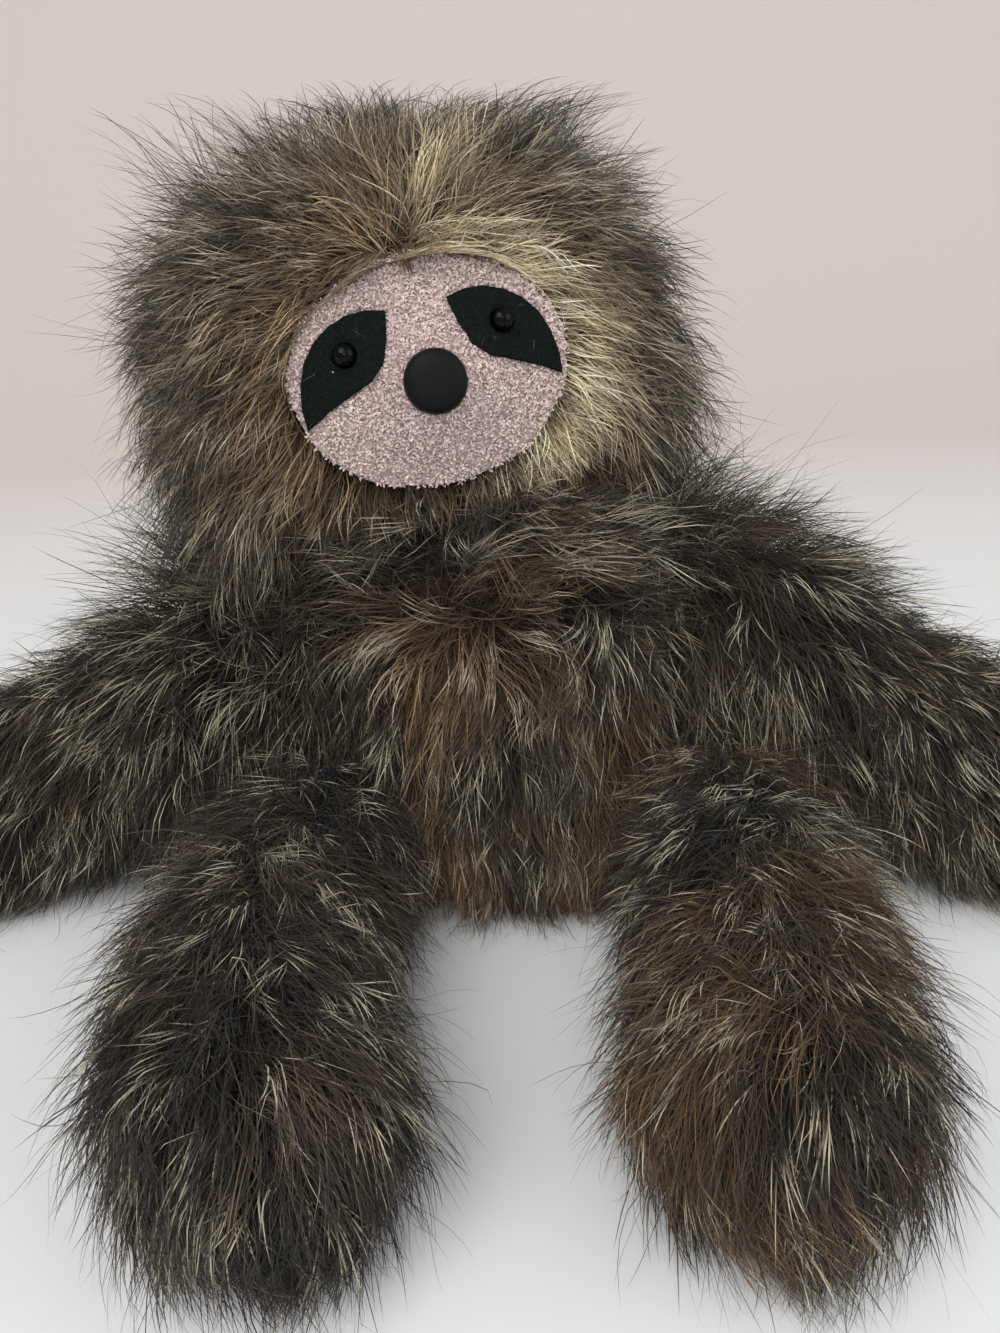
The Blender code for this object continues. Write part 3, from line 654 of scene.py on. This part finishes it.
def make_limb(limb):
    """A limb's skin and fur."""
    skin = limb.form.skin(limb.name + "_skin")
    is_arm = limb.kind == "arm"
    hang = 0.85 if is_arm else 0.7
    seed = sorted(LIMB_SHADES).index(limb.name)

    def outward(p):
        place, way, run = limb.at(p)
        return unit(across(p - place, way * (run < 0.85)[:, None]))

    def comb(p):
        place, way, run = limb.at(p)
        sideways = unit(across(p - place, way))
        swirl = waves(p, 0.04, 30 + seed)[:, None] * limb.side
        swirl = swirl + waves(p, 0.035, 40 + seed)[:, None] * way
        return way + sideways * (0.35, 0.35, 0) - UP * hang + swirl * 0.45

    def shape(roots):
        place, _, run = limb.at(roots)
        root, foot = 1 - step_up(run, *ROOT_RUN), step_up(run, *FOOT_RUN)
        under = step_up(place[:, 2] - roots[:, 2], -0.005, 0.02)
        if is_arm:
            size, stand = ROOT_FUR[limb.name]
            size = mix(0.95, size, root) * mix(1.0, UNDER_ARM_SIZE, under)
            return size, mix(-0.2, stand, root) + UNDER_ARM_STAND * under
        size = mix(0.92, 1.05, root) * mix(1.0, 1.05, foot)
        return size, mix(-0.1, 0.1, root) + 0.04 * foot

    def tone(roots):
        base, tips, fleck = dark_colours(roots, 0.35 if is_arm else 0.8, 8)
        shade, kept = LIMB_SHADES[limb.name]
        return Tone(base * shade, tips, fleck * (rng.random(len(roots)) < kept))

    guides = ARM_GUIDES if is_arm else LEG_GUIDES
    sag = 0.3 if is_arm else 0.4
    parts = coat(limb.form, guides, everywhere, comb, outward, tone, shape, sag)
    points, colours, widths = parts
    return skin, strands(limb.name + "_fur", limit(points), colours, widths, FUR)


# Face

FACE_HEIGHT = 0.107
FACE_HALF_WIDTH, FACE_HALF_HEIGHT = 0.049, 0.039
HEAD_SET_BACK, HEAD_HALF_DEPTH, FACE_SINK = 0.001, 0.074, 0.020
FACE_EDGE = HEAD_SET_BACK - HEAD_HALF_DEPTH + FACE_SINK
FACE_CROWN, MUZZLE_RISE, MUZZLE_RADIUS, MUZZLE_DROP = 0.010, 0.004, 0.030, 0.0045
EYE_SPREAD, EYE_RISE = 0.0275, 0.0105
SLOPE_STEP = 0.0004
# Where the hair parts, above the face, in the head's own frame
PARTING = np.array((0.0, FACE_EDGE + 0.002, FACE_HEIGHT + 0.043))


def face_rise(u, v):
    """How far the face stands forward of its edge."""
    inside = np.maximum(0, 1 - (u / FACE_HALF_WIDTH) ** 2 - (v / FACE_HALF_HEIGHT) ** 2)
    away = (u**2 + (v + MUZZLE_DROP) ** 2) / MUZZLE_RADIUS**2
    return FACE_CROWN * inside + MUZZLE_RISE * np.maximum(0, 1 - away) ** 2


def on_face(u, v, lift=0.0):
    """Places on the face in the world, lifted forward."""
    return from_head(np.stack((u, FACE_EDGE - face_rise(u, v) - lift, FACE_HEIGHT + v), -1))


def face_normal(u, v):
    """The way out of the face."""
    du = on_face(u + SLOPE_STEP, v) - on_face(u - SLOPE_STEP, v)
    dv = on_face(u, v + SLOPE_STEP) - on_face(u, v - SLOPE_STEP)
    return unit(np.cross(du, dv))


def face_share(q):
    """How far places in the head's frame lie from the face's middle, where 1 is its edge."""
    return np.hypot(q[..., 0] / FACE_HALF_WIDTH, (q[..., 2] - FACE_HEIGHT) / FACE_HALF_HEIGHT)


def rim_radius(turn):
    """The face's edge in halves of its size, a little ragged."""
    return 1 + 0.008 * np.sin(5 * turn + 0.6) + 0.006 * np.sin(11 * turn)


# Tufts: the root, the way and the length, in the head's own frame, then the number of locks and the
# spread of their roots
TUFTS = (
    ((-0.002, -0.022, 0.176), (0.02, -0.12, 1.0), 0.046, 10, 0.0018),
    ((0.004, -0.026, 0.174), (0.22, -0.20, 1.0), 0.042, 4, 0.003),
    ((-0.026, -0.014, 0.174), (-0.45, -0.1, 1.0), 0.050, 8, 0.010),
    ((-0.046, -0.016, 0.166), (-0.75, -0.2, 0.9), 0.050, 8, 0.010),
    ((-0.068, -0.012, 0.150), (-1.0, -0.2, 0.6), 0.048, 6, 0.010),
    ((0.030, -0.018, 0.172), (0.60, -0.2, 0.90), 0.054, 8, 0.005),
    ((0.050, -0.014, 0.166), (0.90, -0.2, 0.75), 0.052, 8, 0.009),
    ((0.070, -0.012, 0.150), (1.0, -0.2, 0.35), 0.050, 6, 0.010),
)


def make_tufts():
    """Wispy locks that stand up from the crown."""
    parts = []
    for root, way, length, count, spread in TUFTS:
        roots = np.array(root) + rng.normal(size=(count, 3)) * spread
        ways = unit(unit(np.array(way)) + rng.normal(size=(count, 3)) * 0.22)
        s = SHARES[None, :, None]
        bend = rng.normal(size=(count, 1, 3)) * 0.007 * s**2
        sizes = rng.uniform(0.65, 1.1, (count, 1, 1))
        lines = from_head(roots[:, None] + ways[:, None] * length * sizes * s + bend)
        normals = np.tile(unit(np.array(way)) @ HEAD_AXES.T, (count, 1))
        points = expand(lines, normals, rng.uniform(0.3, 0.8, count), loose=0.17, shorten=0.5)
        base = mix(GREY, SOOT, rng.random((count, 1)))
        paint = Tone(base, np.full(count, 0.95), np.zeros(count)).paint(LOCK)
        parts.append((points, paint, rng.uniform(0.00010, 0.00019, len(points))))
    return parts


def make_forelock():
    """A few fine hairs that lie over the face's upper edge.

    Each start is a place on the face, and how far its hair runs from there."""
    starts = []
    for _ in range(26):
        aside, run = rng.normal() * 0.0015, rng.normal() * 0.0015
        starts.append((aside, 0.041, run, -0.008 - rng.random() * 0.004))
    for i in range(12):
        aside, high = 0.004 + i * 0.0022, 0.040 - i * 0.0007
        starts.append((aside, high, 0.014, -0.0055 - rng.random() * 0.002))
    starts = np.array(starts)
    s = SHARES[None, :]
    u = starts[:, :1] + starts[:, 2:3] * s
    v = starts[:, 1:2] + starts[:, 3:4] * s + 0.0015 * s * (1 - s)
    lines = on_face(u, v, 0.0016 + 0.0010 * s)
    count = len(starts)
    tone = Tone(np.tile(BROWN * 0.8, (count, 1)), np.full(count, 0.9), np.zeros(count))
    return lines, tone.paint(1), np.full(count, 0.00011)


# Where the head's fur changes, in its own frame: heights, distances from its middle, and rings
# round the face or the whole head
CHIN_LEVEL, CHEEK_LEVEL, CROWN_LEVEL = (0.064, 0.085), (0.085, 0.125), (0.145, 0.168)
CHIN_WIDTH, CHEEK_WIDTH = (0.035, 0.065), (0.045, 0.075)
NEAR_RING, PALE_RING, OUTER_RING = (1.05, 1.6), (1.12, 1.42), (0.5, 0.95)
CHIN_SIZE, CHEEK_SIZE, CROWN_SIZE = 0.6, 1.35, 1.1
BESIDE_SIZES = (0.75, 0.60)
# The cream stripe on the face's left side, the fan above it, and the dark fur low on the head
STRIPE_SIDE = (-0.012, 0.014)
FAN_START, FAN_END, FAN_REACH, FAN_SHARE = (0.0, 0.4), (1.1, 1.5), (0.012, 0.034), 0.75
LOW_LEVEL = (0.066, 0.100)


def make_head():
    """The head's skin and fur, which parts above the face and sweeps back and down from there."""
    form = trunk(HEAD_ROWS, HEAD_PLACE)
    skin = form.skin("head_skin")

    def weight(p):
        q = to_head(p.reshape(-1, 3)).reshape(p.shape)
        r = face_share(q)
        front = q[..., 1] < 0
        return np.where(front & (r < 0.93), 0.0, np.where(front & (r < 1.5), 1.5, 1.0))

    def outward(p):
        q = to_head(p) - np.array((0.0, 0.004, 0.112))
        return unit((q / np.array((1.15, 0.8, 0.95))) @ HEAD_AXES.T)

    def comb(p):
        q = to_head(p)
        away = unit(q - PARTING)
        aside = np.abs(q[:, 0])
        front = step_up(-q[:, 1], -0.03, 0.03)
        low = 0.5 * (1 - step_up(q[:, 2], 0.06, 0.10))
        fall = mix(0.75, 0.12 + 6.0 * np.maximum(0, aside - 0.03), front) + low
        way = away - UP * fall[:, None]
        out = np.sign(q[:, 0]) * step_up(aside, 0.02, 0.06) * 0.3
        way = way + np.stack((out, aside * 0, aside * 0), 1)
        swirl = np.stack((waves(p, 0.035, 5), waves(p, 0.035, 6), waves(p, 0.035, 7)), 1)
        return (way + swirl * 0.35) @ HEAD_AXES.T

    def shape(roots):
        q = to_head(roots)
        front = q[:, 1] < 0
        near = (1 - step_up(face_share(q), *NEAR_RING)) * front
        aside = np.abs(q[:, 0])
        low = 1 - step_up(q[:, 2], *CHIN_LEVEL)
        chin = low * (1 - step_up(aside, *CHIN_WIDTH)) * front
        cheek = step_up(aside, *CHEEK_WIDTH) * (1 - step_up(q[:, 2], *CHEEK_LEVEL))
        crown = step_up(q[:, 2], *CROWN_LEVEL)
        short = step_up(q[:, 0], 0.0, 0.03) * (1 - step_up(q[:, 2], 0.13, 0.15))
        size = mix(1.0, mix(*BESIDE_SIZES, short), near) * mix(1.0, CHIN_SIZE, chin)
        size = size * mix(1.0, CHEEK_SIZE, cheek) * mix(1.0, CROWN_SIZE, crown)
        return size, 0.12 - 0.15 * chin + 0.2 * cheek + 0.4 * crown

    def tone(roots):
        q = to_head(roots)
        count = len(roots)
        right = step_up(q[:, 0], *STRIPE_SIDE)
        up = q[:, 2] - PARTING[2]
        lean, far = np.arctan2(up, q[:, 0]), np.hypot(q[:, 0], up)
        fan = step_up(lean, *FAN_START) * (1 - step_up(lean, *FAN_END))
        fan = fan * (1 - step_up(far, *FAN_REACH)) * FAN_SHARE
        under = step_up(FACE_HEIGHT - 0.030 - q[:, 2], 0.0, 0.012)
        under = under * (1 - step_up(q[:, 0], 0.0, 0.02))
        beside = (1 - step_up(face_share(q), *PALE_RING)) * (1 - 0.85 * under)
        pale = np.maximum(beside * mix(0.2, 1.0, right), fan) * (q[:, 1] < 0)
        outer = step_up(np.hypot(q[:, 0] / 0.09, (q[:, 2] - 0.11) / 0.07), *OUTER_RING)
        uneven = waves(roots, 0.025, 3) + rng.normal(size=count) * 0.45
        dark = step_up(uneven, mix(0.0, -0.4, outer), 0.5) * mix(0.5, 0.85, outer)
        base = mix(mix(BROWN, GREY, outer[:, None] * 0.6), SOOT, dark[:, None])
        base = mix(base, mix(TAN, CREAM, right[:, None] * 0.7), pale[:, None])
        low = (1 - step_up(q[:, 2], *LOW_LEVEL)) * (1 - pale)
        low_base, low_tips, low_fleck = dark_colours(roots, 0.6, 1)
        base = mix(base, low_base, low[:, None])
        is_low = rng.random(count) < low
        banded = rng.random(count) < mix(0.2, 0.5, outer) * (1 - pale)
        fleck = np.where(is_low, low_fleck, banded)
        tips = mix(mix(0.55, 1.0, outer) * (1 - 0.85 * pale), low_tips, low)
        return Tone(base, tips, fleck.astype(float), 0.4)

    points, colours, widths = coat(form, HEAD_GUIDES, weight, comb, outward, tone, shape, sag=0.2)
    parts = [(points, colours, widths)] + make_tufts()
    points, colours, widths = [np.concatenate(each) for each in zip(*parts)]
    q = to_head(points.reshape(-1, 3))
    r = face_share(q)
    lean = np.arctan2(q[:, 2] - FACE_HEIGHT, q[:, 0])
    edge = 1.02 - 0.07 * step_up(lean, 0.6, 1.6) * (1 - step_up(lean, 2.2, 3.0))
    push = np.where((r < edge) & (q[:, 1] < 0.0), edge / np.maximum(r, 0.05), 1.0)
    q[:, 0] *= push
    q[:, 2] = (q[:, 2] - FACE_HEIGHT) * push + FACE_HEIGHT
    points = from_head(q).reshape(points.shape)
    fur = zip((points, colours, widths), make_forelock())
    points, colours, widths = [np.concatenate(pair) for pair in fur]
    return skin, strands("head_fur", limit(points), colours, widths, FUR)


PINK = linear(216, 196, 192)
LOOPS = 15000
# How high and how far out the points of a loop lie, in shares of its height and width
LOOP_SHAPE = ((0, 0), (0.7, 0.1), (1.0, 0.45), (0.8, 0.95), (0.2, 1.1))
# How each point of a loop is painted: darker towards the panel, as painted shade among the loops
LOOP_PAINTED_SHADE = np.array((0.8, 0.95, 1.0, 1.0, 0.95))


def make_face():
    """The terry face and its loops."""
    rings, columns = 70, 180
    turn = np.linspace(0, 2 * pi, columns, endpoint=False)
    share = np.linspace(0.004, 1, rings)[:, None]
    u = FACE_HALF_WIDTH * share * np.cos(turn) * rim_radius(turn)
    v = FACE_HALF_HEIGHT * share * np.sin(turn) * rim_radius(turn)
    spots = np.stack((u, v, u * 0), -1).reshape(-1, 3)
    lumps = (waves(spots, 0.0022, 21) * 0.0003 + waves(spots, 0.016, 22) * 0.0005).reshape(u.shape)
    front = on_face(u, v, lumps)
    edge = on_face(u[-1:] * 1.004, v[-1:] * 1.004, -0.0018)
    back = on_face(u[-1:] * 0.985, v[-1:] * 0.985, -0.010)
    verts = np.concatenate((front, edge, back)).reshape(-1, 3)
    # The panel under the loops is painted a little darker than them: painted shade between the
    # loops
    paint = np.tile(PINK * 0.85, (len(verts), 1))
    panel = add_mesh("face_terry", verts, [grid_faces(rings + 2, columns)], TERRY, paint)
    count = int(LOOPS * DETAIL)
    r, t = np.sqrt(rng.random(count)) * 1.005, rng.uniform(0, 2 * pi, count)
    u = FACE_HALF_WIDTH * r * np.cos(t) * rim_radius(t)
    v = FACE_HALF_HEIGHT * r * np.sin(t) * rim_radius(t)
    spots = np.stack((u, v, u * 0), -1)
    root, n = on_face(u, v, waves(spots, 0.016, 22) * 0.0005), face_normal(u, v)
    lean = unit(across(rng.normal(size=(count, 3)), n))
    rough = waves(spots, 0.0022, 23)
    tall = rng.uniform(0.0007, 0.0014, count)[:, None] * (1 + 0.3 * rough[:, None])
    wide = rng.uniform(0.0008, 0.0018, count)[:, None]
    points = np.stack([root + n * tall * high + lean * wide * out for high, out in LOOP_SHAPE], 1)
    tone = (rng.uniform(0.88, 1.08, count) * (1 + 0.10 * rough))[:, None, None] * PINK
    colours = np.minimum(tone, 0.88) * LOOP_PAINTED_SHADE[None, :, None]
    loops = strands("face_loops", points, colours, rng.uniform(0.00028, 0.00045, count), TERRY)
    return panel, loops


# An eye patch's outline, in halves of the face's width and height, for the side at +X
PATCH_SHARES = np.array(
    (
        (0.215, 0.56), (0.35, 0.60), (0.49, 0.595), (0.63, 0.535), (0.755, 0.43),
        (0.85, 0.285), (0.91, 0.11), (0.942, -0.09), (0.938, -0.275), (0.76, -0.16),
        (0.57, -0.065), (0.42, 0.005), (0.315, 0.13), (0.25, 0.34),
    )
)
PATCH_CENTRE_SHARE = np.array((0.62, 0.25))
PATCH_LIFT = 0.0023
# A patch's rings from its centre to its edge, and how high each lies
PATCH_RINGS = np.array((0.0, 0.2, 0.4, 0.6, 0.8, 0.92, 0.985, 1.0, 1.0))
PATCH_LIFTS = PATCH_LIFT * np.array((1.0,) * 6 + (0.95, 0.8, 0.0))
# Short fuzz, and a few long pale hairs caught in it
FUZZ_COUNT, CAUGHT_COUNT = 2600, 8
FUZZ_TONE, CAUGHT_TONE = linear(30, 36, 34), linear(120, 112, 104)


def make_patch(side, sign):
    """A felt patch whose cut edge shows its thickness, and the fuzz on it."""
    corners = zip(PATCH_SHARES, np.roll(PATCH_SHARES, -1, 0))
    steps = np.linspace(0, 1, 9)[:-1, None]
    outline = np.concatenate([mix(a, b, steps) for a, b in corners])
    size = np.array((sign * FACE_HALF_WIDTH, FACE_HALF_HEIGHT))
    share = PATCH_RINGS[:, None, None]
    spots = (PATCH_CENTRE_SHARE + (outline - PATCH_CENTRE_SHARE)[None] * share) * size
    verts = on_face(spots[..., 0], spots[..., 1], PATCH_LIFTS[:, None])
    faces = [grid_faces(len(PATCH_RINGS), len(outline))]
    patch = add_mesh(side + "_eye_felt", verts.reshape(-1, 3), faces, FELT)
    count = int(FUZZ_COUNT * DETAIL)
    pick = rng.integers(0, len(outline), count)
    inner = np.sqrt(rng.random((count, 1)))
    spot = (PATCH_CENTRE_SHARE + (outline[pick] - PATCH_CENTRE_SHARE) * inner) * size
    root = on_face(spot[:, 0], spot[:, 1], PATCH_LIFT)
    n = face_normal(spot[:, 0], spot[:, 1])
    lean = unit(across(rng.normal(size=(count, 3)), n))
    long = rng.uniform(0.0006, 0.0018, count)[:, None]
    long[:CAUGHT_COUNT] *= 4
    fuzz = np.stack([root + lean * long * s + n * 0.00022 * sin(pi * s) for s in (0, 0.5, 1.0)], 1)
    tone = FUZZ_TONE * rng.uniform(0.4, 1.6, (count, 1, 1))
    tone[:CAUGHT_COUNT] = CAUGHT_TONE
    widths = np.full(count, 0.00006)
    fuzz = strands(side + "_eye_fuzz", fuzz, np.repeat(tone, 3, 1), widths, FELT_FUZZ)
    return patch, fuzz


def turned(name, profile, u, v, lift, finish, columns=64):
    """A button turned about the way out of the face."""
    n = face_normal(np.array(u), np.array(v))
    base = on_face(np.array(u), np.array(v), lift)
    a = unit(np.cross(n, UP))
    b = np.cross(n, a)
    turn = np.linspace(0, 2 * pi, columns, endpoint=False)
    circle = np.cos(turn)[:, None] * a + np.sin(turn)[:, None] * b
    rows = [base + n * height + radius * circle for radius, height in profile]
    return add_mesh(name, np.concatenate(rows), [grid_faces(len(profile), columns)], finish)


EYE_RADIUS, EYE_DOME, EYE_BASE = 0.0041, 0.0036, 0.0006
EYE_RIM = ((0.0044, 0.0003), (0.0044, -0.0010))
# The powers make the nose's top flat and its shoulder round
NOSE_RADIUS, NOSE_DOME, NOSE_BASE = 0.0106, 0.0040, 0.0012
NOSE_POWERS, NOSE_LIFT = (0.55, 0.8), 0.0008
NOSE_RIM = ((0.0109, 0.0006), (0.0109, 0.0), (0.0102, -0.003))


def make_buttons():
    """The bead eyes and the nose."""
    made = {}
    arc = np.linspace(0.02, pi / 2, 14)
    profile = [(EYE_RADIUS * sin(t), EYE_BASE + EYE_DOME * cos(t)) for t in arc] + list(EYE_RIM)
    for side, sign in (("left", 1), ("right", -1)):
        name, aside = side + "_bead", sign * EYE_SPREAD
        made[side] = turned(name, profile, aside, EYE_RISE, PATCH_LIFT, BEAD)
    arc = np.linspace(0.00001, pi / 2 - 0.001, 24)
    flat, high = NOSE_POWERS
    profile = [
        (NOSE_RADIUS * sin(t) ** flat, NOSE_BASE + NOSE_DOME * cos(t) ** high) for t in arc
    ] + list(NOSE_RIM)
    made["nose"] = turned("nose_shell", profile, 0.0, -MUZZLE_DROP, NOSE_LIFT, NOSE)
    return made


# Put it together

# Each side's sign, the swing of its arm and leg in degrees, and how far its leg bows outwards
SIDES = {"left": (1, 20.0, -8.5, 0.008), "right": (-1, 10.0, -6.0, -0.021)}
ARM_SIZE, LEG_SIZE = (0.205, 0.042, 0.042, 0.011), (0.172, 0.045, 0.042, 0.015)

body_skin, body_fur = make_body()
head_skin, head_fur = make_head()
panel, loops = make_face()
buttons = make_buttons()
limbs = []
for side, (sign, arm_swing, leg_swing, leg_bow) in SIDES.items():
    arm_heading = radians(90 - sign * (90 + arm_swing))
    leg_heading = radians(-90 + sign * leg_swing)
    limbs.append(Limb(side, "arm", arm_heading, ARM_TABLE, ARM_SIZE, 0.0))
    limbs.append(Limb(side, "leg", leg_heading, LEG_TABLE, LEG_SIZE, leg_bow))


def place_piece(piece, slot, body, *nodes):
    """Puts a piece on a body and hides the nodes that it stands for. The slot is not used."""
    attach(piece, body)
    if nodes:
        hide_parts(*nodes)


body_nodes = ("body_cover", "body_stuffing", "seat_pellet_bag", "neck_collar")
face_nodes = ("face_panel", "nose_washer", "left_eye_washer", "right_eye_washer")
place_piece(body_skin, "long_pile_fur", "body", *body_nodes)
place_piece(body_fur, "long_pile_fur", "body")
place_piece(head_skin, "long_pile_fur", "head", "head_cover", "head_stuffing")
place_piece(head_fur, "long_pile_fur", "head")
place_piece(panel, "face_terry", "head", *face_nodes)
place_piece(loops, "face_terry", "head")
place_piece(buttons["nose"], "nose_button", "head", "nose")
for side, (sign, *_) in SIDES.items():
    patch, fuzz = make_patch(side, sign)
    place_piece(patch, "patch_felt", "head", side + "_eye_patch")
    place_piece(fuzz, "patch_felt", "head")
    place_piece(buttons[side], "eye_bead", "head", side + "_eye")
for limb in limbs:
    skin, fur = make_limb(limb)
    for piece in (skin, fur):
        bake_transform(piece)
    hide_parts(limb.name + "_cover", limb.name + "_stuffing")


# Studio

FLOOR_TONE, WALL_TONE = linear(222, 224, 226), linear(209, 201, 197)
SWEEP_START, SWEEP_RADIUS = 0.8, 1.4
FLOOR_FRONT, WALL_TOP, STAGE_HALF_WIDTH = -3.0, 3.0, 4.0
# Where the pale table gives way to the wall's colour, behind the toy
TABLE_EDGE = (0.15, 0.80)


def make_stage():
    """A table that turns up into a plain wall behind."""
    bend = np.linspace(0, pi / 2, 24)[1:]
    profile = [(FLOOR_FRONT, 0.0), (SWEEP_START, 0.0)]
    for t in bend:
        profile.append((SWEEP_START + SWEEP_RADIUS * sin(t), SWEEP_RADIUS * (1 - cos(t))))
    profile.append((SWEEP_START + SWEEP_RADIUS, WALL_TOP))
    verts = [(x, y, z) for y, z in profile for x in (-STAGE_HALF_WIDTH, STAGE_HALF_WIDTH)]
    made, tree, shader = new_material("studio_sweep", 0.8, FLOOR_TONE, 0.1)
    place = tree.nodes.new("ShaderNodeTexCoord")
    split = add_node(tree, "ShaderNodeSeparateXYZ", [("Vector", place.outputs["Object"])])
    tone = add_ramp(tree, split.outputs["Y"], FLOOR_TONE, WALL_TONE, *TABLE_EDGE)
    tree.links.new(tone, shader.inputs["Base Color"])
    add_mesh("studio_sweep", verts, [grid_faces(len(profile), 2, closed=False)], made)


def add_lamp(name, place, target, size, power, colour=(1, 1, 1)):
    """A soft square lamp that points at a place."""
    lamp = bpy.data.lights.new(name, "AREA")
    lamp.shape = "SQUARE"
    lamp.size = size
    lamp.energy = power
    lamp.color = colour
    made = bpy.data.objects.new(name, lamp)
    made.location = place
    made.rotation_euler = (Vector(target) - Vector(place)).to_track_quat("-Z", "Y").to_euler()
    bpy.context.scene.collection.objects.link(made)


CAMERA_PLACE = (-0.012, -0.400, 0.274)
CAMERA_PITCH, CAMERA_ROLL, CAMERA_LENS = 25, 2.5, 27.0


def make_camera():
    """The camera at the photograph's viewing angle."""
    pitch, roll = radians(CAMERA_PITCH), radians(CAMERA_ROLL)
    ahead = Vector((0, cos(pitch), -sin(pitch)))
    right, up = Vector((1, 0, 0)), Vector((0, sin(pitch), cos(pitch)))
    rolled_right = right * cos(roll) - up * sin(roll)
    rolled_up = up * cos(roll) + right * sin(roll)
    turn = Matrix((rolled_right, rolled_up, -ahead)).transposed()
    data = bpy.data.cameras.new("camera")
    data.lens = CAMERA_LENS
    data.sensor_width = 36.0
    data.clip_start = 0.01
    camera = bpy.data.objects.new("camera", data)
    camera.matrix_world = Matrix.Translation(CAMERA_PLACE) @ turn.to_4x4()
    bpy.context.scene.collection.objects.link(camera)
    bpy.context.scene.camera = camera


TOY_MIDDLE = (0.0, 0.0, 0.13)
WORLD_LIGHT = 0.55
make_stage()
make_camera()
add_lamp("key", (-1.3, -2.0, 3.2), TOY_MIDDLE, 2.6, 82, (1.0, 0.98, 0.95))
add_lamp("fill", (2.8, -1.3, 1.8), TOY_MIDDLE, 2.6, 36, (0.96, 0.98, 1.0))
add_lamp("front", (0.2, -2.8, 2.6), TOY_MIDDLE, 2.0, 14)
add_lamp("sparkle", (-0.03, -0.75, 0.50), TOY_MIDDLE, 0.02, 0.7)
world = bpy.data.worlds.new("studio")
world.use_nodes = True
sky = world.node_tree.nodes["Background"]
sky.inputs["Color"].default_value = (1, 1, 1, 1)
sky.inputs["Strength"].default_value = WORLD_LIGHT
bpy.context.scene.world = world
bpy.context.scene.view_settings.view_transform = "Standard"

bpy.context.view_layer.update()
